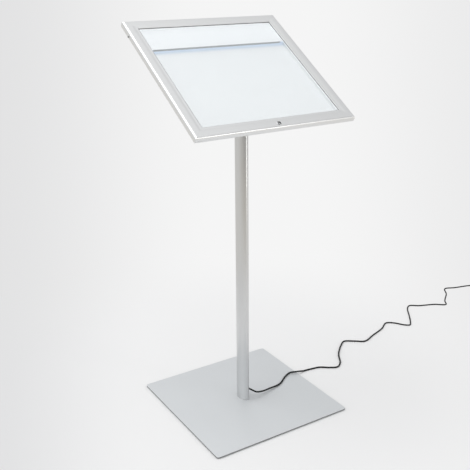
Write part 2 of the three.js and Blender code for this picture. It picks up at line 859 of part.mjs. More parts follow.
// Hinges: a leaf on each side of the door, turning on a shouldered pin fixed in the tray's wall
function addHinges() {
  const leafOuter = caseWidth / 2 - railWall - seat;
  const tongueOuter = leafOuter - leafSet;
  const tongueInner = tongueOuter - leafThick;
  const wallOuter = trayWidth / 2;
  const wallInner = wallOuter - trayWall;
  const pin = turned(
    [
      [0, wallInner - seat - hingeHeadThick],
      [hingeHeadRadius, wallInner - seat - hingeHeadThick],
      [hingeHeadRadius, wallInner - seat],
      [hingePinRadius, wallInner - seat],
      [hingePinRadius, wallOuter + seat],
      [hingeShoulderRadius, wallOuter + seat],
      [hingeShoulderRadius, tongueInner - seat],
      [hingePinRadius, tongueInner - seat],
      [hingePinRadius, tongueOuter],
      [0, tongueOuter],
    ],
    smallSides,
  ).rotateY(Math.PI / 2);

  for (const [side, sign] of [["left", -1], ["right", 1]]) {
    const leafMesh = add(doorGroup, "hinge_leaf_" + side, hingeLeaf(sign), bareSteel);
    leafMesh.position.x = sign > 0 ? tongueInner : -leafOuter;
    const screwMesh = add(doorGroup, "hinge_screw_" + side, hingeScrew(), bareSteel);
    screwMesh.rotation.z = sign > 0 ? 0 : Math.PI;
    screwMesh.position.set(0, hingeScrewPlace, -hingeScrewDepth);
    const pinMesh = add(caseGroup, "hinge_pin_" + side, pin, bareSteel);
    pinMesh.rotation.z = sign > 0 ? 0 : Math.PI;
    pinMesh.position.set(0, hingePlace, -hingeDepth);
  }
}

// Section of a tray rail: wall, ledge for the light panel, and the groove and flange for the back
const traySection = () => {
  const ledgeEnd = trayWall + ledgeReach;
  return [
    [0, trayLow],
    [ledgeEnd, trayLow],
    [ledgeEnd, flangeTop],
    [trayWall, flangeTop],
    [trayWall, ledgeLow],
    [ledgeEnd, ledgeLow],
    [ledgeEnd, ledgeTop],
    [trayWall, ledgeTop],
    [trayWall, -trayRimDepth],
    [0, -trayRimDepth],
  ];
};

// Tray: four mitred rails round the back sheet, slotted for the cam and bored for the hinge pins
function addTray() {
  for (const [side, turn, length, x, y] of frameSides(trayWidth, trayLength, trayLowInset)) {
    let geometry = mitredRail(traySection(), length);
    if (side === "bottom") {
      const slot = block(
        -camHubRadius - camRoom,
        camReach + camWidth / 2,
        -overrun,
        trayWall + overrun / 2,
        camTop - camThick - camRoom,
        camTop + camRoom,
      );
      geometry = cut(geometry, slot.translate(lockSide, 0, 0));
    }
    if (side === "right" || side === "left") {
      const along = hingePlace - (trayLowInset + trayLength / 2);
      const hole = rod(hingePinRadius + turnClear, -overrun, trayWall + overrun)
        .rotateX(-Math.PI / 2)
        .translate(side === "right" ? along : -along, 0, -hingeDepth);
      geometry = cut(geometry, hole);
    }
    const mesh = add(caseGroup, "tray_rail_" + side, geometry, anodised);
    mesh.rotation.z = turn;
    mesh.position.set(x, y, 0);
  }

  const sheet = block(-trayRoom, trayRoom, trayRoomLow, trayRoomTop, backTop - backSheet, backTop);
  const hole = rod(backHoleRadius, backLow - overrun, backTop + overrun)
    .translate(0, slopeStation(backTop, 0), 0);
  add(caseGroup, "back_panel", cut(sheet, ...boltHoles(backLow, backTop), hole), whiteSheet);
}

// Edge-lit panel: reflector, light guide, opal diffuser and the two diode strips
function addLightPanel() {
  const sheet = (low, high) => block(-trayRoom, trayRoom, trayRoomLow, panelTop, low, high);
  add(caseGroup, "reflector_sheet", sheet(reflectorLow, reflectorTop), whiteSheet);
  add(caseGroup, "diffuser_panel", sheet(diffuserLow, diffuserTop), opal);

  const stripRoom = stripThick + diodeDepth + seat;
  const guide = block(
    -trayRoom,
    trayRoom,
    trayRoomLow + stripRoom,
    panelTop - stripRoom,
    guideLow,
    guideTop,
  );
  add(caseGroup, "light_guide", guide, guideSheet);

  const middle = (guideLow + guideTop) / 2;
  const pitch = (2 * trayRoom) / diodeCount;
  const diodes = Array.from({ length: diodeCount }, (_, i) => {
    const x = -trayRoom + pitch * (i + 0.5);
    return block(
      x - diodeWidth / 2,
      x + diodeWidth / 2,
      stripThick / 2,
      stripThick + diodeDepth,
      middle - diodeHeight / 2,
      middle + diodeHeight / 2,
    );
  });
  const strip = join(block(-trayRoom, trayRoom, 0, stripThick, guideLow, guideTop), ...diodes);
  add(caseGroup, "led_strip_bottom", strip, diodeBoard).position.set(0, trayRoomLow, 0);
  const upper = add(caseGroup, "led_strip_top", strip, diodeBoard);
  upper.rotation.z = Math.PI;
  upper.position.set(0, panelTop, 0);
}

// Raised header over the electronics, its dark front edging and the driver under it
function addHeader() {
  const reach = trayRoom - headerEndGap;
  const section = outline([
    [headerFront, diffuserTop + seat],
    [headerFront + headerSheet, diffuserTop + seat],
    [headerFront + headerSheet, headerLow],
    [headerRear - headerSheet, headerLow],
    [headerRear - headerSheet, ledgeTop + seat],
    [headerRear, ledgeTop + seat],
    [headerRear, headerTop],
    [headerFront, headerTop],
  ]);
  const cover = slab(section, -reach, reach).rotateY(Math.PI / 2).rotateX(Math.PI / 2);
  add(caseGroup, "header_cover", cover, whiteSheet);

  const trimRear = headerFront - seat;
  const trim = block(
    -trimLength / 2,
    trimLength / 2,
    trimRear - trimThick,
    trimRear,
    headerTop - trimHeight,
    headerTop,
  );
  add(caseGroup, "header_edging", trim, darkTrim);

  const low = backTop + seat;
  const half = driverLength / 2;
  const body = roundedBox(-half, half, driverPlace, driverPlace + driverWidth, driverRound);
  const inset = driverWidth / 4;
  const tabs = block(
    -half - driverTab,
    half + driverTab,
    driverPlace + inset,
    driverPlace + driverWidth - inset,
    low,
    low + driverFoot,
  );
  add(caseGroup, "led_driver", join(slab(outline(body), low, low + driverHeight), tabs), whitePlastic);
}

// Grommet at the post's foot, the cable up the post, its in-line connector and the thin lead inside
function addInnerWiring() {
  const wallOuter = postWidth / 2;
  const wallInner = wallOuter - postWall;
  const flangeFace = wallOuter + seat;
  const innerFace = wallInner - 2 * seat;
  const grommet = turned([
    [0, innerFace - grommetFlange],
    [grommetNeckRadius + grommetFlange, innerFace - grommetFlange],
    [grommetNeckRadius + grommetFlange, innerFace],
    [grommetNeckRadius, innerFace],
    [grommetNeckRadius, flangeFace],
    [grommetFlangeRadius, flangeFace],
    [grommetFlangeRadius - grommetFlange / 2, flangeFace + grommetFlange],
    [0, flangeFace + grommetFlange],
  ]).rotateY(Math.PI / 2);
  add(root, "cable_grommet", grommet, blackRubber).position.z = cordHeight;

  const connectorTop = slopeHeight(bracketLow, 0) - headPlugLength / 2;
  const connectorLow = connectorTop - connectorLength;
  const start = innerFace - grommetFlange - 2 * seat;
  const bendTop = cordHeight + 4 * start;
  const run = curveThrough([
    [start, 0, cordHeight],
    [start - seat, 0, cordHeight],
    [start / 2, 0, cordHeight + start / 4],
    [0, 0, cordHeight + 2 * start],
    [0, 0, bendTop],
    [0, 0, (bendTop + connectorLow) / 2],
    [0, 0, connectorLow - seat],
  ]);
  add(root, "inner_cable", cable(run, cordRadius, 2 * cordSides), blackPlastic);

  const connector = turned([
    [0, connectorLow],
    [connectorNoseRadius, connectorLow],
    [connectorNoseRadius, connectorLow + connectorNose],
    [connectorRadius, connectorLow + connectorNose],
    [connectorRadius, connectorTop - connectorNose],
    [connectorNoseRadius, connectorTop],
    [0, connectorTop],
  ]);
  add(root, "inline_connector", connector, blackPlastic);

  const leadLevel = (backTop + reflectorLow) / 2;
  const leadBend = slopeStation(backTop, 0);
  const leadFoot = connectorTop + seat;
  const leadRun = curveThrough([
    [0, ...caseCoordinates(0, leadFoot)],
    [0, slopeStation(bracketLow, 0), bracketLow],
    [0, leadBend, backTop],
    [0, leadBend + 2 * backSheet + backHoleRadius / 2, leadLevel],
    [0, leadBend + 2 * backHoleRadius, leadLevel],
    [0, (leadBend + driverPlace) / 2, leadLevel],
    [0, driverPlace - seat, leadLevel],
  ]);
  add(caseGroup, "panel_lead", cable(leadRun, leadRadius, 4 * cordSides), blackPlastic);
}

// Station and level in the case of a point at a place along Y and a height above the floor
function caseCoordinates(y, z) {
  const forward = y + caseReach;
  const rise = z - caseLowHeight;
  return [
    forward * Math.cos(tilt) + rise * Math.sin(tilt),
    rise * Math.cos(tilt) - forward * Math.sin(tilt),
  ];
}

// Points of the coil's centreline: in along the floor layer, up in the middle half turn, and out on top
function coilPoints() {
  const half = coilTurns / 2;
  const innerRadius = coilMiddleRadius - (coilPitch * half) / 2;
  const count = coilTurns * loopSteps;
  const at = (turn) => {
    const radius = innerRadius + coilPitch * Math.abs(turn);
    const angle = coilStart - 2 * Math.PI * (turn + half);
    const climb = THREE.MathUtils.clamp(2 * turn + 0.5, 0, 1);
    return new THREE.Vector3(
      coilCentre[0] + radius * Math.cos(angle),
      coilCentre[1] + radius * Math.sin(angle),
      floorLine + coilPitch * climb,
    );
  };
  const points = Array.from({ length: count + 1 }, (_, i) => at((coilTurns * i) / count - half));
  const forward = new THREE.Vector3(Math.sin(coilStart), -Math.cos(coilStart), 0);
  points.unshift(points[0].clone().addScaledVector(forward, -2 * cordRadius));
  points.push(points[points.length - 1].clone().addScaledVector(forward, coilTail));
  return { points, forward };
}

// A tube round a list of points that never runs straight up, closed at both ends
function woundTube(points, radius, sides) {
  const up = new THREE.Vector3(0, 0, 1);
  const places = [];
  points.forEach((point, i) => {
    const before = points[Math.max(i - 1, 0)];
    const after = points[Math.min(i + 1, points.length - 1)];
    const along = after.clone().sub(before).normalize();
    const side = new THREE.Vector3().crossVectors(along, up).normalize();
    const rise = new THREE.Vector3().crossVectors(side, along);
    for (let k = 0; k < sides; k++) {
      const angle = (2 * Math.PI * (k + 0.5)) / sides;
      const place = point.clone();
      place.addScaledVector(side, radius * Math.cos(angle));
      place.addScaledVector(rise, radius * Math.sin(angle));
      places.push(place.x, place.y, place.z);
    }
  });
  const last = (points.length - 1) * sides;
  const faces = [];
  for (let ring = 0; ring < last; ring += sides) {
    for (let k = 0; k < sides; k++) {
      const next = (k + 1) % sides;
      faces.push(ring + k, ring + sides + k, ring + sides + next);
      faces.push(ring + k, ring + sides + next, ring + next);
    }
  }
  for (let k = 1; k < sides - 1; k++) {
    faces.push(0, k, k + 1);
    faces.push(last, last + k + 1, last + k);
  }
  const tube = new THREE.BufferGeometry();
  tube.setAttribute("position", new THREE.Float32BufferAttribute(places, 3));
  tube.setIndex(faces);
  tube.computeVertexNormals();
  return tube;
}

// Least distance between the surfaces of two turns that aren't neighbours along the tube
function leastGap(points, radius) {
  let least = Infinity;
  points.forEach((a, i) => {
    for (let k = i + Math.floor(loopSteps / 3); k < points.length; k++) {
      least = Math.min(least, a.distanceTo(points[k]) - 2 * radius);
    }
  });
  return least;
}

// The free lead on the base and the floor, its coil and the plug-in power supply
function addMainsLead() {
  const { points, forward } = coilPoints();
  const meet = points[0].clone().addScaledVector(forward, -seat);
  const run = curveThrough([[cordRoot, 0, cordHeight], ...cordRoute, meet.toArray()]);
  add(root, "mains_lead", cable(run, cordRadius, cordSteps), blackRubber);

  console.log("least gap in the coil, mm:", leastGap(points, cordRadius).toFixed(2));
  console.log("lead on the floor, mm:", run.getLength().toFixed(0));
  const coil = new THREE.CatmullRomCurve3(points);
  console.log("lead in the coil, mm:", coil.getLength().toFixed(0));
  add(root, "mains_lead_coil", woundTube(points, cordRadius, loopSides), blackRubber);

  const end = points[points.length - 1].clone().addScaledVector(forward, seat);
  const supply = new THREE.Group();
  supply.position.set(end.x, end.y, 0);
  supply.rotation.z = Math.atan2(forward.y, forward.x);
  root.add(supply);
  const pinPlaces = [-1, 1].map((side) => [
    reliefLength + supplyLength - supplyPinPlace,
    (side * supplyPinSpacing) / 2,
  ]);
  add(supply, "power_supply", supplyBody(end.z, pinPlaces), blackPlastic);

  const pinLow = supplyHeight - supplyRound + seat;
  const pinTop = supplyHeight + supplyPinLength;
  const pin = turned(
    [
      [0, pinLow],
      [supplyPinRadius, pinLow],
      [supplyPinRadius, pinTop - supplyPinRadius],
      [supplyPinRadius / 2, pinTop],
      [0, pinTop],
    ],
    smallSides,
  );
  pinPlaces.forEach(([x, y], i) => {
    add(supply, "supply_pin_" + (i + 1), pin, chromed).position.set(x, y, 0);
  });
}

// Power supply lying on its back: its lead enters at one end and its two pins point up
function supplyBody(leadHeight, pinPlaces) {
  const near = reliefLength;
  const half = supplyWidth / 2;
  const edge = outline(roundedBox(near, near + supplyLength, -half, half, supplyRound));
  const body = new THREE.ExtrudeGeometry(edge, {
    depth: supplyHeight - 2 * supplyChamfer,
    bevelThickness: supplyChamfer,
    bevelSize: supplyChamfer,
    bevelOffset: -supplyChamfer,
    bevelSegments: 1,
  }).translate(0, 0, supplyChamfer);
  const relief = turned(
    [
      [0, 0],
      [reliefTipRadius, 0],
      [reliefRadius, reliefLength],
      [reliefRadius, reliefLength + supplyRound],
      [0, reliefLength + supplyRound],
    ],
    smallSides,
  )
    .rotateY(Math.PI / 2)
    .translate(0, 0, leadHeight);
  const sockets = pinPlaces.map(([x, y]) =>
    rod(supplyPinRadius + turnClear, supplyHeight - supplyRound, supplyHeight + overrun).translate(x, y, 0),
  );
  return cut(join(body, relief), ...sockets);
}

addBase();
addPost();
addPostHead();
addTray();
addLightPanel();
addHeader();
addDoor();
addLock();
addHinges();
addInnerWiring();
addMainsLead();

export default root;
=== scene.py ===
"""Illuminated menu stand: the finished look of its base, post, tilted case, lock and mains lead."""

import json
import math

import bmesh
import bpy
from mathutils import Matrix, Vector


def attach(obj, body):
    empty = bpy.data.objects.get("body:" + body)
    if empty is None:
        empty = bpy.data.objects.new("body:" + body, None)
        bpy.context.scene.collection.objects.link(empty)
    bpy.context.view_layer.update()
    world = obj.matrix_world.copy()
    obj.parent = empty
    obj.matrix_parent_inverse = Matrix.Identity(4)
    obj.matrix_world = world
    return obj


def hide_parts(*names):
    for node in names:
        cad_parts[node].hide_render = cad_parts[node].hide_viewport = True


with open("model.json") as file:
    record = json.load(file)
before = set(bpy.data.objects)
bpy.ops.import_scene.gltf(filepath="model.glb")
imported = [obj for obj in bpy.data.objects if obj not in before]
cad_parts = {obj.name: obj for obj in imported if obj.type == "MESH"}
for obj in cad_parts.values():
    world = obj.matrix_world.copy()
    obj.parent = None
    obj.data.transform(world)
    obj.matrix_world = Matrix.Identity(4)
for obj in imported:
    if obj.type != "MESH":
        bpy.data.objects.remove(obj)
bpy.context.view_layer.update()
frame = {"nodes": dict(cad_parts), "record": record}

MM = 0.001
NODES = frame["nodes"]

# Case: its place and slope
CASE_WIDTH = 488 * MM
CASE_LENGTH = 462 * MM
CASE_REACH = 186 * MM
CASE_LOW_HEIGHT = 881.5 * MM
TILT = math.radians(32.2)
UP_THE_FACE = Vector((0, math.cos(TILT), math.sin(TILT)))
OUT_OF_FACE = Vector((0, -math.sin(TILT), math.cos(TILT)))

# Door rail section, from its outer edge inwards and from the face down
RAIL_WIDTH = 35 * MM
RAIL_DEPTH = 15.5 * MM
RAIL_WALL = 2 * MM
RAIL_FLANGE = 2.6 * MM
RAIL_EDGE_ROUND = 6
RAIL_SEAM = (RAIL_EDGE_ROUND + 1) * MM  # of round and wall, down from the face
RAIL_FOOT_ROUND = 0.3 * MM
LIP_WIDTH = 5 * MM
LIP_DEPTH = 3.6 * MM
LEDGE_START = 33.37 * MM
MITRE_GAP = 0.03 * MM
# stations of the round, and then the face's section, all in millimetres:
# how far in from the outer edge, and its level there
ROUND_STATIONS = (0.05, 0.2, 0.5, 0.9, 1.4, 2, 2.7, 3.5, 4.4, 5.3)
RAIL_FACE = (
    (6, 0),
    (6.3, 0),
    (18.2, 0),
    (18.6, 0),
    (20.2, -0.06),
    (22.2, -0.25),
    (24.2, -0.47),
    (26.0, -0.63),
    (27.0, -0.66),
    (28.2, -0.64),
    (29.4, -0.59),
    (30.6, -0.56),
    (31.4, -0.58),
    (32.2, -0.66),
    (32.8, -0.76),
    (33.15, -0.9),
    (33.35, -1.15),
    (33.4, -3.0),
    (33.7, -3.15),
    (35.0, -3.2),
)

# Lock
LOCK_PLACE = 13 * MM
LOCK_SIDE = 2.2 * MM
LOCK_BORE = 5.6 * MM
LOCK_RIM_LEVEL = 1.1 * MM
# where the painted shade of the lock's key slot and dish lies
LOCK_SHADE_LEVEL = -0.4 * MM
LOCK_GAP = (4.4 * MM, 4.55 * MM)
LOCK_DISH = 5.4 * MM

# Painted shade of the header on the panel, from here to here, up the slope
UNDER_HEADER_PAINTED_SHADE = (332 * MM, 349 * MM)
# and painted shade on the header's own walls from here to here, down from the face
HEADER_WALL_PAINTED_SHADE = (9.8 * MM, 11.0 * MM)

# Base plate
BASE_SIDE = 450 * MM
BASE_THICK = 4 * MM
BASE_LOW = 1.5 * MM
BASE_CORNER_ROUND = 8 * MM
BASE_EDGE_ROUND = 0.6 * MM
BASE_PAINTED_SHADE_LEVELS = (4.9 * MM, 5.4 * MM)  # painted shade on the plate's edge faces and underside, fading out between these levels
FOOT_SCREW_PLACE = 13 * MM
FOOT_HOLE_RADIUS = 3.3 * MM
FOOT_SINK_RADIUS = 5.9 * MM
FOOT_SINK_DEPTH = 3.1 * MM

# Post
POST_WIDTH = 29 * MM
POST_DEPTH = 53 * MM
POST_WALL = 2 * MM
POST_LOW = 5.8 * MM
POST_SIDES = 96
POST_BLANK = 1000 * MM  # drawn up this far before it is mitred
POST_EASE = 0.25 * MM
HEAD_LEVEL = -37.3 * MM
CORD_HEIGHT = 28 * MM
CORD_BORE = 4.5 * MM

# Diode strips
STRIP_HALF = 217.7 * MM
STRIP_DIODES = 22
DIODE_HALF_SHARE = 0.09  # of the pitch

# Mains lead, in millimetres: from its exit over the base, and then where it lies on the floor
CORD_RADIUS = 2.5
CORD_LIFT = 0.1
CORD_LEVEL = CORD_RADIUS + CORD_LIFT
CORD_EXIT = (16.3, 0, 28)
CORD_DROP = [
    CORD_EXIT,
    (19, 0, 27.8),
    (25, -6, 24.5),
    (38, -19, 18),
    (60, -21, 14.5),
    (90, -15.5, 11.5),
    (120, -10.5, 9),
    (140, -4, 8.4),
    (176, 21, 8.4),
    (203, 32, 8.8),
    (222, 25, 9.6),
    (238, 23, 7.4),
    (252, 24, 3.6),
    (266, 24, 2.75),
]
CORD_WANDER = [
    (288, 21), (312, 16), (340, -4), (364, -15), (391, 3), (422, 49),
    (473, 97), (500, 113), (532, 94), (562, 74), (619, 93), (680, 114),
    (727, 140), (752, 122), (771, 92), (788, 80), (808, 97), (842, 138),
    (884, 190), (908, 203), (938, 183), (998, 158), (1034, 133), (1058, 160),
    (1112, 203), (1148, 243), (1188, 229), (1259, 209),
]
COIL_CENTRE = (1274, 158)
COIL_MIDDLE_RADIUS = 27.5
COIL_PITCH = 5.6
COIL_TURNS = 5
COIL_START = math.radians(57)
COIL_TAIL = 24
RELIEF_RUN = 12
COIL_STEPS = 48
RUN_STEPS = 10

# Camera, solved from the photograph's straight edges
CAMERA_PLACE = (-1.0671, -1.6863, 1.2512)
CAMERA_YAW = math.radians(31.750)
CAMERA_PITCH = math.radians(19.680)
CAMERA_ROLL = math.radians(-0.5479)
CAMERA_LENS = 56.609
CAMERA_SENSOR = 36
CAMERA_FAR = 200

# What counts as along an axis, in a plane and near a level when parts of a mesh are picked
ALONG_AXIS = 0.9
IN_PLANE = 0.001 * MM
NEAR_LEVEL = 0.1 * MM

# What is welded and taken as flat in a CAD copy, and which edges are eased
WELD = 0.005 * MM
FLAT_ANGLE = math.radians(0.5)
EASE_ANGLE = math.radians(38)
POST_EASE_ANGLE = math.radians(50)
EASE_SEGMENTS = 2
BORE_SIDES = 48
# up to how many degrees the faces of copies, rails and other drawn pieces are shaded smooth
COPY_SMOOTH = 32
RAIL_SMOOTH = 25
DRAWN_SMOOTH = 30

# How the die lines run: what turns each run to the streaks' own x
ALONG_CASE = (TILT, 0, 0)
UP_SLOPE = (TILT, 0, math.pi / 2)
UPRIGHT = (0, -math.pi / 2, 0)

# Finishes: pairs of colours go from dark to light, and pairs of values are roughnesses
# one anodising, in a lighter copy for the rails and a darker one for the post: painted light and
# shade
RAIL_LIT_SILVER = ((0.78, 0.785, 0.788), (0.85, 0.857, 0.86))
# painted shade: the ledge by the glazing gets this darker silver
LEDGE_PAINTED_SHADE_SILVER = (0.47, 0.47, 0.475)
POST_SHADED_SILVER = ((0.655, 0.66, 0.662), (0.715, 0.72, 0.722))
ANODISED_SATIN = (0.30, 0.38)
COAT_SATIN = (0.34, 0.42)
PAINTED_EDGE_SHADE_SHARE = 0.36  # of the coat's dark colour, left in the painted shade on the plate's edges
CHROME_CLEAN = (0.78, 0.79, 0.80)
CHROME_WIPED = (0.70, 0.71, 0.72)
# painted shade in the lock's key slot and dish
LOCK_PAINTED_SHADE = (0.012, 0.012, 0.013)
OPAL_BODY = ((0.27, 0.285, 0.30), (0.30, 0.31, 0.32))
PANEL_GLOW = 0.62
# painted light: the header sheet glows to fill the shade under the top rail
HEADER_PAINTED_GLOW = 0.67
# painted light: the glazing gasket and retainer glow to lighten the shade at the window edge
TRIM_PAINTED_GLOW = 0.42
PAINTED_SHADE_GLOW = (0.60, 0.71, 0.86)  # share of each colour that is left in the painted shade
SOLDER_MASK = ((0.86, 0.86, 0.83), (0.92, 0.92, 0.90))
PHOSPHOR = (0.93, 0.78, 0.25)
SHEATH_BLACK = ((0.005, 0.005, 0.0055), (0.014, 0.014, 0.015))

# Floor and the sweep behind it: tones, and where each fades to the next as seen from the camera;
# the darker sides are a painted falloff of light
FLOOR_RADIUS = 60
FLOOR_TONE = (0.90, 0.898, 0.898)
FLOOR_DIM = (0.74, 0.74, 0.745)
FLOOR_FADE = (-0.10, -0.34)
LIT_FLOOR = (0.45, 1.25)  # metres from the stand
SWEEP_LIGHT = (0.915, 0.915, 0.915)
SWEEP_DIM = (0.765, 0.765, 0.77)
SWEEP_ALONG = (0.526, 0.850, 0)
SWEEP_ACROSS = (0.850, -0.526, 0)
SWEEP_DEPTH = 2.6
LEFT_FADE = (-0.02, -0.32)
RIGHT_FADE = (0.08, 0.36)
RIGHT_SHARE = 0.6
BEHIND_FADE = (0.6, -0.6)
# what the metal sees of the room past the floor
ROOM_LIGHT = (0.77, 0.757, 0.73)
ROOM_SHADE = (0.63, 0.59, 0.525)
ROOM_FADE = (-0.5, -2.6)

# Air: an even level, a glow overhead at the left, and a low band lighter behind and darker in front
AIR_LEVEL = 0.61
AIR_TONE = (0.99, 0.995, 1.0)
HORIZON_BAND = (0.75, 0.1)
OVERHEAD = (-0.40, -0.05, 0.915)
OVERHEAD_GLOW = 0.49
OVERHEAD_SPREAD = (0.2, 0.95)
BACK_SIDE = (-0.52, 0.85, 0)
BACK_GLOW = 0.08
BACK_SPREAD = (0.1, 0.8)
ROOM_SIDE = (-0.5, -0.87, 0)
ROOM_DIM = 0.35
ROOM_SPREAD = (-0.1, 0.8)

# Lamps: name, place, what each aims at, its width and height, and its power
LAMPS = (
    ("overhead_left_softbox", (-1.15, 0.8, 3.2), (0, 0, 0.9), (1.8, 1.8), 16),
    ("front_right_strip", (1.5, -2.88, 0.85), (0, 0, 0.8), (0.7, 1.5), 11),
)


# ---------------------------------------------------------------- camera
def set_camera():
    forward = Vector(
        (
            math.sin(CAMERA_YAW) * math.cos(CAMERA_PITCH),
            math.cos(CAMERA_YAW) * math.cos(CAMERA_PITCH),
            -math.sin(CAMERA_PITCH),
        )
    )
    level = Vector((math.cos(CAMERA_YAW), -math.sin(CAMERA_YAW), 0))
    above = level.cross(forward)
    right = level * math.cos(CAMERA_ROLL) + above * math.sin(CAMERA_ROLL)
    up = above * math.cos(CAMERA_ROLL) - level * math.sin(CAMERA_ROLL)
    data = bpy.data.cameras.new("photo_camera")
    data.lens = CAMERA_LENS
    data.sensor_width = CAMERA_SENSOR
    data.clip_end = CAMERA_FAR
    camera = bpy.data.objects.new("photo_camera", data)
    bpy.context.scene.collection.objects.link(camera)
    turn = Matrix((right, up, -forward)).transposed()
    camera.matrix_world = Matrix.Translation(CAMERA_PLACE) @ turn.to_4x4()
    bpy.context.scene.camera = camera


# ---------------------------------------------------------------- mains lead
def curve_between(before, start, end, after, steps):
    """Points of a centripetal Catmull-Rom stretch from start up to, not including, end."""
    stretches = ((before, start), (start, end), (end, after))
    came, here, goes = [(b - a).length ** 0.5 for a, b in stretches]
    first = (start - before) / came - (end - before) / (came + here) + (end - start) / here
    last = (end - start) / here - (after - start) / (here + goes) + (after - end) / goes
    first, last = first * here, last * here
    points = []
    for i in range(steps):
        t = i / steps
        points.append(
            start
            + first * t
            + (3 * (end - start) - 2 * first - last) * t**2
            + (2 * (start - end) + first + last) * t**3
        )
    return points


def coil_points():
    """In along the floor layer, up a layer in the middle half turn, and out on top."""
    half = COIL_TURNS / 2
    inner = COIL_MIDDLE_RADIUS - COIL_PITCH * half / 2
    points = []
    for i in range(COIL_TURNS * COIL_STEPS + 1):
        turn = i / COIL_STEPS - half
        radius = inner + COIL_PITCH * abs(turn)
        angle = COIL_START - 2 * math.pi * (turn + half)
        climb = min(max(2 * turn + 0.5, 0), 1)
        points.append(
            Vector(
                (
                    COIL_CENTRE[0] + radius * math.cos(angle),
                    COIL_CENTRE[1] + radius * math.sin(angle),
                    CORD_LEVEL + COIL_PITCH * climb,
                )
            )
        )
    forward = Vector((math.sin(COIL_START), -math.cos(COIL_START), 0))
    lead_in = points[0] - forward * 2 * CORD_RADIUS
    return [lead_in] + points, points[-1] + forward * (COIL_TAIL + RELIEF_RUN)


def make_mains_lead():
    coil, end = coil_points()
    route = CORD_DROP + [(x, y, CORD_LEVEL) for x, y in CORD_WANDER]
    knots = [Vector(p) for p in route] + [coil[0]]
    line = []
    for i in range(len(knots) - 1):
        before = knots[i - 1] if i else 2 * knots[0] - knots[1]
        after = knots[i + 2] if i + 2 < len(knots) else 2 * knots[-1] - knots[-2]
        line += curve_between(before, knots[i], knots[i + 1], after, RUN_STEPS)
    line += coil + [end]
    data = bpy.data.curves.new("mains_lead_flex", "CURVE")
    data.dimensions = "3D"
    data.bevel_depth = CORD_RADIUS * MM
    data.bevel_resolution = 4
    data.use_fill_caps = True
    spline = data.splines.new("POLY")
    spline.points.add(len(line) - 1)
    for point, place in zip(spline.points, line):
        point.co = (*(place * MM), 1)
    flex = bpy.data.objects.new("mains_lead_flex", data)
    bpy.context.scene.collection.objects.link(flex)
    return flex


# ---------------------------------------------------------------- modelling helpers
def choose(piece):
    """Leaves one piece selected and active."""
    bpy.ops.object.select_all(action="DESELECT")
    bpy.context.view_layer.objects.active = piece
    piece.select_set(True)


def begin(name, primitive, **place):
    """Adds one primitive by itself, with its place in its mesh, and opens it for editing."""
    bpy.ops.object.select_all(action="DESELECT")
    primitive(**place)
    piece = bpy.context.object
    piece.name = name
    piece.data.name = name
    bpy.ops.object.transform_apply(location=True, rotation=True, scale=True)
    bpy.ops.object.mode_set(mode="EDIT")
    return piece


def pick(kind, test):
    """Selects the faces, edges or corners whose middle and direction pass the test."""
    bpy.ops.mesh.select_mode(type=kind)
    bpy.ops.mesh.select_all(action="DESELECT")
    data = bpy.context.edit_object.data
    mesh = bmesh.from_edit_mesh(data)
    mesh.normal_update()
    if kind == "FACE":
        for face in mesh.faces:
            face.select_set(test(face.calc_center_median(), face.normal))
    elif kind == "EDGE":
        for edge in mesh.edges:
            a, b = edge.verts
            edge.select_set(test((a.co + b.co) / 2, (b.co - a.co).normalized()))
    else:
        for corner in mesh.verts:
            corner.select_set(test(corner.co, corner.normal))
    mesh.select_flush_mode()
    bmesh.update_edit_mesh(data)


def slice_at(place, normal, remove=False):
    bpy.ops.mesh.select_all(action="SELECT")
    bpy.ops.mesh.bisect(plane_co=place, plane_no=normal, use_fill=remove, clear_outer=remove)


def extrude(move):
    bpy.ops.mesh.extrude_region_move(TRANSFORM_OT_translate={"value": move})


def shift(move):
    bpy.ops.transform.translate(value=move)


def round_edges(width, segments):
    bpy.ops.mesh.bevel(offset=width, segments=segments, affect="EDGES")


def close_edit(piece):
    bpy.ops.mesh.select_all(action="SELECT")
    bpy.ops.mesh.normals_make_consistent(inside=False)
    bpy.ops.object.mode_set(mode="OBJECT")
    return piece


def smooth(piece, degrees):
    choose(piece)
    bpy.ops.object.shade_smooth_by_angle(angle=math.radians(degrees))


def place_by(piece, matrix):
    """Moves a finished piece, leaving its object at the origin and its place in its mesh."""
    choose(piece)
    piece.matrix_world = matrix
    bpy.ops.object.transform_apply(location=True, rotation=True, scale=True)


def twin(piece, name):
    copy = bpy.data.objects.new(name, piece.data.copy())
    copy.data.name = name
    bpy.context.scene.collection.objects.link(copy)
    return copy


def apply_modifier(piece, kind, **settings):
    choose(piece)
    modifier = piece.modifiers.new(kind.lower(), kind)
    for key, value in settings.items():
        setattr(modifier, key, value)
    bpy.ops.object.modifier_apply(modifier=modifier.name)


def bore(piece, radius, length, place, turn=(0, 0, 0)):
    """Drills a round hole, upright unless turned, by a cutter that is then thrown away."""
    bpy.ops.object.select_all(action="DESELECT")
    bpy.ops.mesh.primitive_cylinder_add(
        vertices=BORE_SIDES, radius=radius, depth=length, location=place, rotation=turn
    )
    cutter = bpy.context.object
    apply_modifier(piece, "BOOLEAN", operation="DIFFERENCE", object=cutter, solver="EXACT")
    bpy.data.objects.remove(cutter)


def ease_edges(piece, width, angle):
    """Bevels every edge that is sharper than an angle."""
    apply_modifier(
        piece,
        "BEVEL",
        width=width,
        segments=EASE_SEGMENTS,
        limit_method="ANGLE",
        angle_limit=angle,
        use_clamp_overlap=True,
    )


def case_matrix(x=0, up=0, turn=0):
    """From a bench drawing, x across, y up the slope and z out of the face, to the tilted case."""
    slope = Matrix.Translation((0, -CASE_REACH, CASE_LOW_HEIGHT)) @ Matrix.Rotation(TILT, 4, "X")
    return slope @ Matrix.Translation((x, up, 0)) @ Matrix.Rotation(turn, 4, "Z")


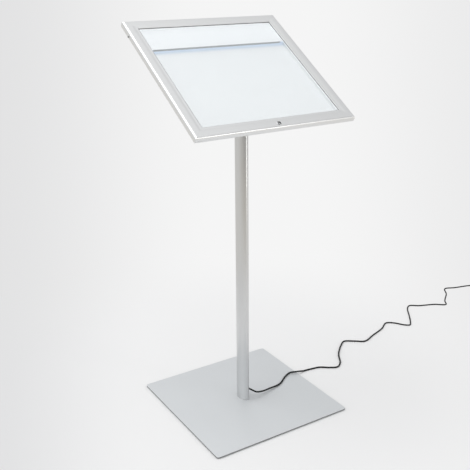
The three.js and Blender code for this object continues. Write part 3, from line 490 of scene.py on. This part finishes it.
def eased_copy(node, width):
    """A copy of a CAD node whose sharp edges are eased and whose round faces are smooth."""
    piece = bpy.data.objects.new(node + "_eased", NODES[node].data.copy())
    bpy.context.scene.collection.objects.link(piece)
    choose(piece)
    bpy.ops.object.mode_set(mode="EDIT")
    bpy.ops.mesh.select_all(action="SELECT")
    bpy.ops.mesh.remove_doubles(threshold=WELD)
    bpy.ops.mesh.dissolve_limited(angle_limit=FLAT_ANGLE)
    bpy.ops.object.mode_set(mode="OBJECT")
    if width:
        ease_edges(piece, width, EASE_ANGLE)
    smooth(piece, COPY_SMOOTH)
    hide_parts(node)
    return piece


# ---------------------------------------------------------------- door rails
def face_level(reach):
    """Level of a rail's face at a reach from its outer edge, both in millimetres."""
    if reach < RAIL_EDGE_ROUND:
        inward = RAIL_EDGE_ROUND - reach
        return math.sqrt(RAIL_EDGE_ROUND**2 - inward**2) - RAIL_EDGE_ROUND
    for (near, high), (far, low) in zip(RAIL_FACE, RAIL_FACE[1:]):
        if near <= reach <= far:
            return high + (low - high) * (reach - near) / (far - near)


def door_rail(name, length):
    """A rail drawn along x with its outer edge at y 0 and its face at z 0, mitred at both ends."""
    lip = RAIL_WIDTH - LIP_WIDTH
    piece = begin(
        name,
        bpy.ops.mesh.primitive_cube_add,
        size=1,
        location=(0, RAIL_WIDTH / 2, -RAIL_FLANGE / 2),
        scale=(length, RAIL_WIDTH, RAIL_FLANGE),
    )
    stations = {reach for reach, _ in RAIL_FACE} | set(ROUND_STATIONS) | {lip / MM}
    for reach in sorted(stations - {RAIL_WIDTH / MM}):
        slice_at((0, reach * MM, 0), (0, 1, 0))
    # the outer wall, and the seam on its outside moved down out of the round
    pick("FACE", lambda middle, normal: normal.z < -ALONG_AXIS and middle.y < RAIL_WALL)
    extrude((0, 0, RAIL_FLANGE - RAIL_DEPTH))
    pick("VERT", lambda at, _: abs(at.y) < IN_PLANE and abs(at.z + RAIL_FLANGE) < IN_PLANE)
    shift((0, 0, RAIL_FLANGE - RAIL_SEAM))
    # the lip on the glazing, and then the face's own levels
    pick("FACE", lambda middle, normal: normal.z < -ALONG_AXIS and middle.y > lip)
    extrude((0, 0, RAIL_FLANGE - LIP_DEPTH))
    for reach in stations | {0}:
        pick("VERT", lambda at, _: at.z > -IN_PLANE and abs(at.y - reach * MM) < IN_PLANE)
        shift((0, 0, face_level(reach) * MM))
    foot = NEAR_LEVEL - RAIL_DEPTH
    pick("EDGE", lambda middle, way: middle.z < foot and abs(way.x) > ALONG_AXIS)
    round_edges(RAIL_FOOT_ROUND, segments=2)
    reach = length / 2 - MITRE_GAP
    for side in (-1, 1):
        slice_at((side * reach, 0, 0), (side, 1, 0), remove=True)
    return close_edit(piece)


def make_door_rails():
    rails = {}
    across = door_rail("door_rail_low", CASE_WIDTH)
    uphill = door_rail("door_rail_right_side", CASE_LENGTH)
    top = twin(across, "door_rail_high")
    left = twin(uphill, "door_rail_left_side")
    bore(across, LOCK_BORE, 4 * RAIL_DEPTH, (LOCK_SIDE, LOCK_PLACE, 0))
    quarter = math.pi / 2
    for piece, node, x, up, turn in (
        (across, "door_rail_bottom", 0, 0, 0),
        (uphill, "door_rail_right", CASE_WIDTH / 2, CASE_LENGTH / 2, quarter),
        (top, "door_rail_top", 0, CASE_LENGTH, 2 * quarter),
        (left, "door_rail_left", -CASE_WIDTH / 2, CASE_LENGTH / 2, -quarter),
    ):
        place_by(piece, case_matrix(x, up, turn))
        smooth(piece, RAIL_SMOOTH)
        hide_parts(node)
        rails[node] = piece
    return rails


# ---------------------------------------------------------------- base and post
def make_base_plate():
    piece = begin(
        "base_sheet",
        bpy.ops.mesh.primitive_cube_add,
        size=1,
        location=(0, 0, BASE_LOW + BASE_THICK / 2),
        scale=(BASE_SIDE, BASE_SIDE, BASE_THICK),
    )
    pick("EDGE", lambda _, way: abs(way.z) > ALONG_AXIS)
    round_edges(BASE_CORNER_ROUND, segments=10)
    pick("EDGE", lambda _, way: abs(way.z) < 1 - ALONG_AXIS)
    round_edges(BASE_EDGE_ROUND, segments=3)
    close_edit(piece)
    for side in (-1, 1):
        place = (0, side * FOOT_SCREW_PLACE, BASE_LOW)
        bore(piece, FOOT_HOLE_RADIUS, 4 * BASE_THICK, place)
        bore(piece, FOOT_SINK_RADIUS, 2 * FOOT_SINK_DEPTH, place)
    smooth(piece, DRAWN_SMOOTH)
    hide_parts("base_plate")
    return piece


def make_post():
    """An oval tube: a ring drawn up, mitred to the case's slope and given its wall."""
    piece = begin(
        "post_extrusion",
        bpy.ops.mesh.primitive_circle_add,
        vertices=POST_SIDES,
        radius=0.5,
        location=(0, 0, POST_LOW),
    )
    bpy.ops.mesh.select_all(action="SELECT")
    bpy.ops.transform.resize(value=(POST_WIDTH, POST_DEPTH, 1), center_override=(0, 0, POST_LOW))
    extrude((0, 0, POST_BLANK))
    on_head = Vector((0, -CASE_REACH, CASE_LOW_HEIGHT)) + OUT_OF_FACE * HEAD_LEVEL
    bpy.ops.mesh.select_all(action="SELECT")
    bpy.ops.mesh.bisect(plane_co=on_head, plane_no=OUT_OF_FACE, clear_outer=True)
    close_edit(piece)
    apply_modifier(piece, "SOLIDIFY", thickness=POST_WALL, offset=-1, use_even_offset=True)
    exit_place = (POST_WIDTH / 2, 0, CORD_HEIGHT)
    bore(piece, CORD_BORE, POST_WIDTH, exit_place, turn=(0, math.pi / 2, 0))
    ease_edges(piece, POST_EASE, POST_EASE_ANGLE)
    smooth(piece, DRAWN_SMOOTH)
    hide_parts("post_tube")
    return piece


# ---------------------------------------------------------------- shader nodes
def feed(tree, value, socket):
    """Links a socket to another socket's value, or sets a plain value on it."""
    if isinstance(value, bpy.types.NodeSocket):
        tree.links.new(value, socket)
    else:
        socket.default_value = value


def node(tree, kind, inputs=(), **settings):
    """A new node with its settings, and with inputs that are linked or set."""
    made = tree.nodes.new(kind)
    for key, value in settings.items():
        setattr(made, key, value)
    for key, value in dict(inputs).items():
        feed(tree, value, made.inputs[key])
    return made


def math_node(tree, operation, a, b=0.0):
    return node(tree, "ShaderNodeMath", {0: a, 1: b}, operation=operation).outputs[0]


def vector_node(tree, operation, a, b=(0, 0, 0), output=0):
    return node(tree, "ShaderNodeVectorMath", {0: a, 1: b}, operation=operation).outputs[output]


def along(tree, vector, direction):
    """How far a vector reaches along a direction."""
    return vector_node(tree, "DOT_PRODUCT", vector, direction, output="Value")


def plus(tree, value, extra, share):
    """A value and a share of another."""
    return math_node(tree, "ADD", value, math_node(tree, "MULTIPLY", extra, share))


def blend(tree, a, a_share, b, b_share):
    """Shares of two values, added."""
    return plus(tree, math_node(tree, "MULTIPLY", a, a_share), b, b_share)


def ramp(tree, value, start, end, low=0.0, high=1.0, kind="SMOOTHSTEP"):
    """A value that goes from low to high as another goes from start to end."""
    inputs = {0: value, 1: start, 2: end, 3: low, 4: high}
    return node(tree, "ShaderNodeMapRange", inputs, interpolation_type=kind).outputs[0]


def between(tree, factor, low, high):
    """A value that goes evenly from low to high as the factor goes from 0 to 1."""
    return ramp(tree, factor, 0.0, 1.0, low, high, kind="LINEAR")


def tint(tree, factor, dark, light):
    """A colour between two others, each of them plain or a socket."""
    made = node(tree, "ShaderNodeMix", {"Factor": factor}, data_type="RGBA")
    # the colour sockets of a Mix node share their names with the float ones
    for i, colour in ((6, dark), (7, light)):
        plain = not isinstance(colour, bpy.types.NodeSocket)
        feed(tree, (*colour, 1) if plain else colour, made.inputs[i])
    return made.outputs[2]


def noise(tree, place, scale, detail, **inputs):
    inputs = {"Vector": place, "Scale": scale, "Detail": detail, **inputs}
    return node(tree, "ShaderNodeTexNoise", inputs).outputs[0]


def bump(tree, shader, height, strength, depth):
    made = node(tree, "ShaderNodeBump", {"Height": height, "Strength": strength, "Distance": depth})
    tree.links.new(made.outputs[0], shader.inputs["Normal"])


def surface(tree, factor, first, second, output):
    """Mixes two shaders into the surface of a material or of the world."""
    both = node(tree, "ShaderNodeMixShader", {0: factor, 1: first.outputs[0], 2: second.outputs[0]})
    tree.links.new(both.outputs[0], tree.nodes[output].inputs["Surface"])


# ---------------------------------------------------------------- shared effects
def effect(name, inputs, outputs):
    """An empty node group with float inputs, a place vector and the named outputs."""
    tree = bpy.data.node_groups.new(name, "ShaderNodeTree")
    tree.interface.new_socket(name="Place", in_out="INPUT", socket_type="NodeSocketVector")
    for key, value in inputs.items():
        socket = tree.interface.new_socket(name=key, in_out="INPUT", socket_type="NodeSocketFloat")
        socket.default_value = value
    for key in outputs:
        tree.interface.new_socket(name=key, in_out="OUTPUT", socket_type="NodeSocketFloat")
    start, end = tree.nodes.new("NodeGroupInput"), tree.nodes.new("NodeGroupOutput")
    return tree, start.outputs, end.inputs


def streak_effect():
    """Die lines of an extrusion that runs along the group's own x: fine, long and irregular."""
    scales = {"Scale": 900.0, "Stretch": 0.004}
    tree, given, result = effect("die_lines", scales, ("Lines", "Height"))
    split = node(tree, "ShaderNodeSeparateXYZ", {0: given["Place"]}).outputs
    drawn = math_node(tree, "MULTIPLY", split[0], given["Stretch"])
    joined = node(tree, "ShaderNodeCombineXYZ", {0: drawn, 1: split[1], 2: split[2]}).outputs[0]
    fine = noise(tree, joined, given["Scale"], 3.0, Roughness=0.6)
    broad = noise(tree, joined, math_node(tree, "MULTIPLY", given["Scale"], 0.12), 2.0)
    tree.links.new(blend(tree, fine, 0.6, broad, 0.4), result["Lines"])
    tree.links.new(fine, result["Height"])
    return tree


def grain_effect():
    """Fine even grain of a sprayed, moulded or blasted skin, with a slow cloudiness."""
    scales = {"Scale": 1200.0, "Cloud Scale": 9.0}
    tree, given, result = effect("skin_grain", scales, ("Grain", "Cloud"))
    grain = noise(tree, given["Place"], given["Scale"], 2.0, Roughness=0.5)
    tree.links.new(grain, result["Grain"])
    tree.links.new(noise(tree, given["Place"], given["Cloud Scale"], 3.0), result["Cloud"])
    return tree


def handling_effect():
    """Where hands and cloths have been: faint wipe marks and a few specks of dust."""
    scales = {"Wipe Scale": 14.0, "Dust Scale": 260.0}
    tree, given, result = effect("handling", scales, ("Wipes", "Dust"))
    bent = noise(tree, given["Place"], given["Wipe Scale"], 5.0, Distortion=1.6)
    tree.links.new(ramp(tree, bent, 0.42, 0.72), result["Wipes"])
    specks = node(
        tree,
        "ShaderNodeTexVoronoi",
        {"Vector": given["Place"], "Scale": given["Dust Scale"], "Randomness": 1.0},
    )
    dust = ramp(tree, specks.outputs["Distance"], 0.05, 0.11, 1.0, 0.0, kind="LINEAR")
    tree.links.new(dust, result["Dust"])
    return tree


STREAKS = streak_effect()
GRAIN = grain_effect()
HANDLING = handling_effect()


# ---------------------------------------------------------------- materials
def material(name, **constants):
    """A material with its shader, its Object coordinates and its plain values set on the shader."""
    made = bpy.data.materials.new(name)
    made.use_nodes = True
    tree = made.node_tree
    shader = tree.nodes["Principled BSDF"]
    for key, value in constants.items():
        shader.inputs[key.replace("_", " ")].default_value = value
    place = node(tree, "ShaderNodeTexCoord").outputs["Object"]
    return made, tree, shader, place


def use(tree, group, place, **values):
    made = node(tree, "ShaderNodeGroup", node_tree=group)
    tree.links.new(place, made.inputs["Place"])
    for key, value in values.items():
        made.inputs[key.replace("_", " ")].default_value = value
    return made.outputs


def ledge_painted_shade_mask(tree, place):
    """Painted shade mask: 1 on the ledge that the rails turn towards the glazing, 0 on the rest of
    them.
    """
    middle = case_matrix(0, CASE_LENGTH / 2).translation
    reach = vector_node(tree, "SUBTRACT", place, middle)
    inside = []
    for direction, half in (((1, 0, 0), CASE_WIDTH / 2), (UP_THE_FACE, CASE_LENGTH / 2)):
        far = math_node(tree, "ABSOLUTE", along(tree, reach, direction))
        inside.append(math_node(tree, "LESS_THAN", far, half - LEDGE_START))
    return math_node(tree, "MULTIPLY", *inside)


def anodised(name, turn, colours, ledge=None):
    """Satin silver anodising over die lines that run along x once the place is turned, with painted
    shade on the ledge when its colour is given.
    """
    made, tree, shader, place = material(name, Metallic=1.0)
    turning = {"Vector": place, "Rotation": turn}
    turned = node(tree, "ShaderNodeMapping", turning, vector_type="TEXTURE").outputs[0]
    lines = use(tree, STREAKS, turned, Scale=700.0, Stretch=0.004)
    skin = use(tree, GRAIN, place, Scale=2600.0, Cloud_Scale=7.0)
    marks = use(tree, HANDLING, place, Wipe_Scale=11.0, Dust_Scale=180.0)
    colour = tint(tree, lines["Lines"], *colours)
    # painted shade on the ledge by the glazing
    if ledge:
        colour = tint(tree, ledge_painted_shade_mask(tree, place), colour, ledge)
    tree.links.new(colour, shader.inputs["Base Color"])
    satin = between(tree, skin["Cloud"], *ANODISED_SATIN)
    tree.links.new(plus(tree, satin, marks["Wipes"], 0.05), shader.inputs["Roughness"])
    height = blend(tree, lines["Height"], 0.5, skin["Grain"], 0.5)
    bump(tree, shader, height, strength=0.12, depth=0.03 * MM)
    return made


def powder_coat(name, dark, light, shade_levels=None):
    """Fine silver-grey powder coat: a soft orange peel with a slight sparkle in its colour."""
    made, tree, shader, place = material(name, Metallic=0.35, Specular_IOR_Level=0.5)
    skin = use(tree, GRAIN, place, Scale=900.0, Cloud_Scale=5.0)
    marks = use(tree, HANDLING, place, Wipe_Scale=6.0, Dust_Scale=120.0)
    peel = blend(tree, skin["Grain"], 0.55, skin["Cloud"], 0.45)
    colour = tint(tree, plus(tree, peel, marks["Dust"], 0.3), dark, light)
    if shade_levels:
        # painted shade: the plate's edge faces and underside are darkened below these levels
        level = node(tree, "ShaderNodeSeparateXYZ", {0: place}).outputs[2]
        edge = ramp(tree, level, *shade_levels, kind="LINEAR")
        colour = tint(tree, edge, [value * PAINTED_EDGE_SHADE_SHARE for value in dark], colour)
    tree.links.new(colour, shader.inputs["Base Color"])
    satin = between(tree, skin["Cloud"], *COAT_SATIN)
    tree.links.new(plus(tree, satin, marks["Wipes"], 0.04), shader.inputs["Roughness"])
    bump(tree, shader, skin["Grain"], strength=0.3, depth=0.08 * MM)
    return made


def plated_steel(name, dark, light):
    """Bright zinc on steel: clouded brightness and fine polishing lines."""
    made, tree, shader, place = material(name, Metallic=1.0)
    lines = use(tree, STREAKS, place, Scale=1500.0, Stretch=0.05)
    skin = use(tree, GRAIN, place, Scale=1600.0, Cloud_Scale=60.0)
    tree.links.new(tint(tree, skin["Cloud"], dark, light), shader.inputs["Base Color"])
    tree.links.new(between(tree, lines["Lines"], 0.24, 0.46), shader.inputs["Roughness"])
    bump(tree, shader, lines["Height"], strength=0.2, depth=0.05 * MM)
    return made


def lock_shade_mask(tree, place):
    """Painted shade mask: 1 inside the lock's dished head and in its key slot, 0 on the rest of it.
    """
    reach = vector_node(tree, "SUBTRACT", place, case_matrix() @ Vector((LOCK_SIDE, LOCK_PLACE, 0)))
    level = along(tree, reach, OUT_OF_FACE)
    rise = node(tree, "ShaderNodeVectorMath", {0: OUT_OF_FACE, "Scale": level}, operation="SCALE")
    aside = vector_node(tree, "SUBTRACT", reach, rise.outputs[0])
    radius = vector_node(tree, "LENGTH", aside, output="Value")
    gap_start, gap_end = LOCK_GAP
    in_plug = math_node(tree, "LESS_THAN", radius, gap_end)
    sunk = math_node(tree, "LESS_THAN", level, LOCK_SHADE_LEVEL)
    past_plug = math_node(tree, "GREATER_THAN", radius, gap_start)
    in_dish = math_node(tree, "LESS_THAN", radius, LOCK_DISH)
    under_rim = math_node(tree, "LESS_THAN", level, LOCK_RIM_LEVEL)
    slot = math_node(tree, "MULTIPLY", sunk, in_plug)
    dish = math_node(tree, "MULTIPLY", math_node(tree, "MULTIPLY", past_plug, in_dish), under_rim)
    return math_node(tree, "MAXIMUM", slot, dish)


def chrome(name, satin, painted_lock_shade=False):
    """Polished chrome with fine lines and faint wipe marks; on the lock, painted shade in its dish
    and key slot.
    """
    made, tree, shader, place = material(name, Metallic=1.0)
    marks = use(tree, HANDLING, place, Wipe_Scale=240.0, Dust_Scale=900.0)
    lines = use(tree, STREAKS, place, Scale=2600.0, Stretch=0.02)
    colour = tint(tree, marks["Wipes"], CHROME_CLEAN, CHROME_WIPED)
    # painted shade in the key slot and dish of the lock
    if painted_lock_shade:
        colour = tint(tree, lock_shade_mask(tree, place), colour, LOCK_PAINTED_SHADE)
    tree.links.new(colour, shader.inputs["Base Color"])
    tree.links.new(between(tree, lines["Lines"], *satin), shader.inputs["Roughness"])
    return made


def moulded(
    name,
    dark,
    light,
    satin=(0.42, 0.55),
    scale=1500.0,
    depth=0.08 * MM,
    **constants,
):
    """A moulded plastic or rubber skin with its fine spark-eroded grain and some dust."""
    made, tree, shader, place = material(name, **constants)
    skin = use(tree, GRAIN, place, Scale=scale, Cloud_Scale=22.0)
    marks = use(tree, HANDLING, place, Wipe_Scale=40.0, Dust_Scale=400.0)
    worn = blend(tree, skin["Cloud"], 0.7, marks["Dust"], 0.35)
    tree.links.new(tint(tree, worn, dark, light), shader.inputs["Base Color"])
    tree.links.new(between(tree, skin["Cloud"], *satin), shader.inputs["Roughness"])
    bump(tree, shader, skin["Grain"], strength=0.35, depth=depth)
    return made


def glowing_sheet(name, strength, tone, direction, near, far):
    """Glowing opal acrylic, with painted shade past a reach along a direction: its glow dim and
    bluish there.
    """
    made, tree, shader, place = material(
        name, Roughness=0.35, Emission_Strength=strength, Specular_IOR_Level=0.3
    )
    skin = use(tree, GRAIN, place, Scale=700.0, Cloud_Scale=4.0)
    tree.links.new(tint(tree, skin["Cloud"], *OPAL_BODY), shader.inputs["Base Color"])
    slope = case_matrix().to_3x3() @ Vector(direction)
    start = case_matrix().translation.dot(slope)
    # painted shade: the glow turns dim and bluish past the given reach
    shaded = ramp(tree, along(tree, place, slope), start + near, start + far)
    painted_shade_tone = [share * value for share, value in zip(tone, PAINTED_SHADE_GLOW)]
    tree.links.new(tint(tree, shaded, tone, painted_shade_tone), shader.inputs["Emission Color"])
    bump(tree, shader, skin["Grain"], strength=0.1, depth=0.03 * MM)
    return made


def clear_acrylic(name, tone, wipe_share=0.02):
    """Clear sheet: lamps shine through it, and faint wipe marks catch the light."""
    made, tree, shader, place = material(
        name, Base_Color=(*tone, 1), Transmission_Weight=1.0, IOR=1.49, Metallic=0.0
    )
    marks = use(tree, HANDLING, place, Wipe_Scale=5.0, Dust_Scale=90.0)
    specked = blend(tree, marks["Wipes"], wipe_share, marks["Dust"], 0.05)
    tree.links.new(specked, shader.inputs["Roughness"])
    through = node(tree, "ShaderNodeBsdfTransparent", {"Color": (*tone, 1)})
    path = node(tree, "ShaderNodeLightPath")
    surface(tree, path.outputs["Is Shadow Ray"], shader, through, "Material Output")
    return made


def diode_board(name):
    """White solder mask with a yellow phosphor window on each diode."""
    made, tree, shader, place = material(name, Roughness=0.4)
    across = node(tree, "ShaderNodeSeparateXYZ", {0: place}).outputs[0]
    from_end = math_node(tree, "ADD", across, STRIP_HALF)
    pitches = math_node(tree, "DIVIDE", from_end, 2 * STRIP_HALF / STRIP_DIODES)
    off_middle = math_node(tree, "SUBTRACT", math_node(tree, "FRACT", pitches), 0.5)
    aside = math_node(tree, "ABSOLUTE", off_middle)
    window = math_node(tree, "LESS_THAN", aside, DIODE_HALF_SHARE)
    skin = use(tree, GRAIN, place, Scale=2000.0, Cloud_Scale=50.0)
    board = tint(tree, skin["Cloud"], *SOLDER_MASK)
    tree.links.new(tint(tree, window, board, PHOSPHOR), shader.inputs["Base Color"])
    bump(tree, shader, skin["Grain"], strength=0.2, depth=0.03 * MM)
    return made


def flex_sheath(name):
    """Soft black sheath of the lead: a low sheen, slightly scuffed and dusty."""
    made, tree, shader, place = material(name, Specular_IOR_Level=0.2)
    skin = use(tree, GRAIN, place, Scale=1100.0, Cloud_Scale=30.0)
    marks = use(tree, HANDLING, place, Wipe_Scale=60.0, Dust_Scale=520.0)
    worn = blend(tree, skin["Cloud"], 0.6, marks["Dust"], 0.5)
    tree.links.new(tint(tree, worn, *SHEATH_BLACK), shader.inputs["Base Color"])
    tree.links.new(between(tree, skin["Cloud"], 0.38, 0.52), shader.inputs["Roughness"])
    bump(tree, shader, skin["Grain"], strength=0.3, depth=0.1 * MM)
    return made


ANODISED_ACROSS = anodised("anodised_rails_across", ALONG_CASE, RAIL_LIT_SILVER, LEDGE_PAINTED_SHADE_SILVER)
ANODISED_UPHILL = anodised("anodised_rails_uphill", UP_SLOPE, RAIL_LIT_SILVER, LEDGE_PAINTED_SHADE_SILVER)
ANODISED_POST = anodised("anodised_post", UPRIGHT, POST_SHADED_SILVER)
BASE_COAT = powder_coat(
    "silver_powder_coat", (0.68, 0.70, 0.715), (0.757, 0.78, 0.797), shade_levels=BASE_PAINTED_SHADE_LEVELS
)
BRACKET_COAT = powder_coat("bracket_powder_coat", (0.50, 0.51, 0.52), (0.58, 0.59, 0.60))
PLATED_STEEL = plated_steel("zinc_plated_steel", (0.50, 0.51, 0.53), (0.70, 0.70, 0.69))
SCREW_STEEL = plated_steel("burnished_screw_steel", (0.36, 0.36, 0.37), (0.50, 0.50, 0.50))
CHROME = chrome("polished_pin_chrome", (0.05, 0.20))
LOCK_CHROME = chrome("polished_lock_chrome", (0.12, 0.28), painted_lock_shade=True)
WHITE_SHEET = moulded(
    "white_sheet",
    (0.87, 0.885, 0.90),
    (0.91, 0.925, 0.935),
    satin=(0.30, 0.40),
    scale=900.0,
    depth=0.04 * MM,
)
# the panel is lit from behind; its fade under the header is painted shade
OPAL = glowing_sheet("opal_diffuser", PANEL_GLOW, (0.955, 0.978, 1.0), (0, 1, 0), *UNDER_HEADER_PAINTED_SHADE)
# painted light: the header glows to fill the shade under the top rail, and painted shade dims its
# walls
HEADER_SHEET_PAINTED_GLOW = glowing_sheet(
    "header_sheet_painted_glow", HEADER_PAINTED_GLOW, (0.945, 0.97, 1.0), (0, 0, -1), *HEADER_WALL_PAINTED_SHADE
)
CLEAR = clear_acrylic("clear_glazing", (0.985, 0.995, 0.99))
GUIDE = clear_acrylic("light_guide_acrylic", (0.93, 0.97, 0.975), wipe_share=0.2)
DIODES = diode_board("diode_board_white")
EDGING = moulded("grey_edging", (0.36, 0.375, 0.39), (0.44, 0.455, 0.47))
SHEATH = flex_sheath("black_flex_sheath")
RUBBER = moulded(
    "black_rubber", (0.012, 0.012, 0.013), (0.03, 0.03, 0.032), satin=(0.55, 0.7), scale=1000.0
)
BLACK_PLASTIC = moulded(
    "black_moulded_plastic", (0.010, 0.010, 0.011), (0.024, 0.024, 0.026), satin=(0.36, 0.5)
)
WHITE_PLASTIC = moulded("white_moulded_plastic", (0.74, 0.75, 0.75), (0.82, 0.83, 0.83))
# painted light: this trim glows to lighten the shade at the window edge
GLAZING_TRIM_PAINTED_GLOW = moulded(
    "white_glazing_trim_painted_glow",
    (0.80, 0.81, 0.82),
    (0.87, 0.88, 0.89),
    Emission_Color=(0.95, 0.98, 1, 1),
    Emission_Strength=TRIM_PAINTED_GLOW,
)


def dress(piece, finish):
    piece.data.materials.clear()
    piece.data.materials.append(finish)
    return piece


# ---------------------------------------------------------------- assembly
set_camera()
flex = dress(make_mains_lead(), SHEATH)
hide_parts("mains_lead", "mains_lead_coil")
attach(flex, "stand")

base = dress(make_base_plate(), BASE_COAT)
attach(base, "stand")

post = dress(make_post(), ANODISED_POST)
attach(post, "stand")

for rail_node, rail in make_door_rails().items():
    sideways = rail_node in ("door_rail_bottom", "door_rail_top")
    dress(rail, ANODISED_ACROSS if sideways else ANODISED_UPHILL)
    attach(rail, "door")

BODY_OF = {
    name: body for body, names in frame["record"]["behaviour"]["bodies"].items() for name in names
}
# node, finish and how far its edges are eased, in millimetres
EASED = [
    ("base_pad_front_left", RUBBER, 0.2),
    ("base_pad_front_right", RUBBER, 0.2),
    ("base_pad_rear_left", RUBBER, 0.2),
    ("base_pad_rear_right", RUBBER, 0.2),
    ("post_foot_insert", PLATED_STEEL, 0.3),
    ("foot_screw_front", PLATED_STEEL, 0.1),
    ("foot_screw_rear", PLATED_STEEL, 0.1),
    ("post_head_bracket", BRACKET_COAT, 0.4),
    ("bracket_bolt_low_left", PLATED_STEEL, 0.15),
    ("bracket_bolt_low_right", PLATED_STEEL, 0.15),
    ("bracket_bolt_high_left", PLATED_STEEL, 0.15),
    ("bracket_bolt_high_right", PLATED_STEEL, 0.15),
    ("backing_plate", PLATED_STEEL, 0.2),
    ("tray_rail_bottom", ANODISED_ACROSS, 0.2),
    ("tray_rail_top", ANODISED_ACROSS, 0.2),
    ("tray_rail_right", ANODISED_UPHILL, 0.2),
    ("tray_rail_left", ANODISED_UPHILL, 0.2),
    ("back_panel", WHITE_SHEET, 0.2),
    ("reflector_sheet", WHITE_SHEET, 0),
    ("light_guide", GUIDE, 0),
    ("diffuser_panel", OPAL, 0),
    ("led_strip_bottom", DIODES, 0),
    ("led_strip_top", DIODES, 0),
    ("header_cover", HEADER_SHEET_PAINTED_GLOW, 0.5),
    ("header_edging", EDGING, 0.2),
    ("led_driver", WHITE_PLASTIC, 0.6),
    ("panel_lead", BLACK_PLASTIC, 0),
    ("door_key_low_left", PLATED_STEEL, 0.2),
    ("door_key_low_right", PLATED_STEEL, 0.2),
    ("door_key_high_left", PLATED_STEEL, 0.2),
    ("door_key_high_right", PLATED_STEEL, 0.2),
    ("glazing_gasket", GLAZING_TRIM_PAINTED_GLOW, 0),
    ("glazing_pane", CLEAR, 0),
    ("glazing_retainer", GLAZING_TRIM_PAINTED_GLOW, 0.2),
    ("hinge_leaf_left", PLATED_STEEL, 0.2),
    ("hinge_leaf_right", PLATED_STEEL, 0.2),
    ("hinge_screw_left", SCREW_STEEL, 0.25),
    ("hinge_screw_right", SCREW_STEEL, 0.25),
    ("hinge_pin_left", PLATED_STEEL, 0.15),
    ("hinge_pin_right", PLATED_STEEL, 0.15),
    ("lock_sleeve", LOCK_CHROME, 0.1),
    ("lock_nut", PLATED_STEEL, 0.15),
    ("lock_plug", LOCK_CHROME, 0.1),
    ("lock_cam", PLATED_STEEL, 0.15),
    ("cam_screw", PLATED_STEEL, 0.1),
    ("cable_grommet", RUBBER, 0.2),
    ("inner_cable", SHEATH, 0),
    ("inline_connector", BLACK_PLASTIC, 0.3),
    ("power_supply", BLACK_PLASTIC, 0.5),
    ("supply_pin_1", CHROME, 0.1),
    ("supply_pin_2", CHROME, 0.1),
]
for name, finish, eased in EASED:
    piece = dress(eased_copy(name, eased * MM), finish)
    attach(piece, BODY_OF[name])


# ---------------------------------------------------------------- floor, air and lamps
def make_floor():
    """A pale floor that keeps the stand's shadow and fades further off into a studio sweep, both
    painted darker towards the sides as a falloff of light.
    """
    piece = begin(
        "studio_floor",
        bpy.ops.mesh.primitive_circle_add,
        vertices=64,
        radius=FLOOR_RADIUS,
        fill_type="NGON",
    )
    close_edit(piece)
    made, tree, shader, place = material("studio_floor", Roughness=0.7, Specular_IOR_Level=0.2)
    onward = along(tree, place, SWEEP_ALONG)
    deep = math_node(tree, "ADD", onward, SWEEP_DEPTH)
    spread = math_node(tree, "DIVIDE", along(tree, place, SWEEP_ACROSS), deep)
    # painted light: floor and sweep turn darker towards the sides, as under a pool of light
    left = ramp(tree, spread, *LEFT_FADE)
    right = ramp(tree, spread, *RIGHT_FADE)
    sides = math_node(tree, "MAXIMUM", left, math_node(tree, "MULTIPLY", right, RIGHT_SHARE))
    dim = math_node(tree, "MAXIMUM", sides, ramp(tree, deep, *BEHIND_FADE))
    sweep = tint(tree, dim, SWEEP_LIGHT, SWEEP_DIM)
    floor = tint(tree, ramp(tree, spread, *FLOOR_FADE), FLOOR_TONE, FLOOR_DIM)
    tree.links.new(floor, shader.inputs["Base Color"])
    room = tint(tree, ramp(tree, onward, *ROOM_FADE), ROOM_LIGHT, ROOM_SHADE)
    path = node(tree, "ShaderNodeLightPath")
    seen = tint(tree, path.outputs["Is Camera Ray"], room, sweep)
    glow = node(tree, "ShaderNodeEmission", {"Color": seen, "Strength": 1.0})
    flat = vector_node(tree, "MULTIPLY", place, (1, 1, 0))
    away = vector_node(tree, "LENGTH", flat, output="Value")
    surface(tree, ramp(tree, away, *LIT_FLOOR), shader, glow, "Material Output")
    dress(piece, made)


def set_air():
    """Soft light from all round, strongest overhead at the left, weakest low on the near side."""
    world = bpy.data.worlds.new("studio_air")
    bpy.context.scene.world = world
    world.use_nodes = True
    tree = world.node_tree
    facing = node(tree, "ShaderNodeTexCoord").outputs["Generated"]
    overhead = ramp(tree, along(tree, facing, OVERHEAD), *OVERHEAD_SPREAD, 0.0, OVERHEAD_GLOW)
    near = ramp(tree, along(tree, facing, ROOM_SIDE), *ROOM_SPREAD, 0.0, ROOM_DIM)
    behind = ramp(tree, along(tree, facing, BACK_SIDE), *BACK_SPREAD, 0.0, BACK_GLOW)
    low = ramp(tree, along(tree, facing, (0, 0, 1)), *HORIZON_BAND)
    lifted = math_node(tree, "ADD", plus(tree, overhead, low, behind), AIR_LEVEL)
    level = math_node(tree, "SUBTRACT", lifted, math_node(tree, "MULTIPLY", low, near))
    light = tree.nodes["Background"]
    light.inputs["Color"].default_value = (*AIR_TONE, 1)
    tree.links.new(level, light.inputs["Strength"])
    seen = node(tree, "ShaderNodeBackground", {"Color": (*SWEEP_LIGHT, 1), "Strength": 1.0})
    path = node(tree, "ShaderNodeLightPath")
    surface(tree, path.outputs["Is Camera Ray"], light, seen, "World Output")


def add_lamp(name, place, target, size, power):
    data = bpy.data.lights.new(name, "AREA")
    data.shape = "RECTANGLE"
    data.size, data.size_y = size
    data.energy = power
    lamp = bpy.data.objects.new(name, data)
    bpy.context.scene.collection.objects.link(lamp)
    lamp.location = place
    lamp.rotation_euler = (Vector(target) - Vector(place)).to_track_quat("-Z", "Y").to_euler()
    lamp.visible_camera = False


make_floor()
set_air()
for lamp in LAMPS:
    add_lamp(*lamp)

bpy.context.scene.view_settings.view_transform = "Standard"
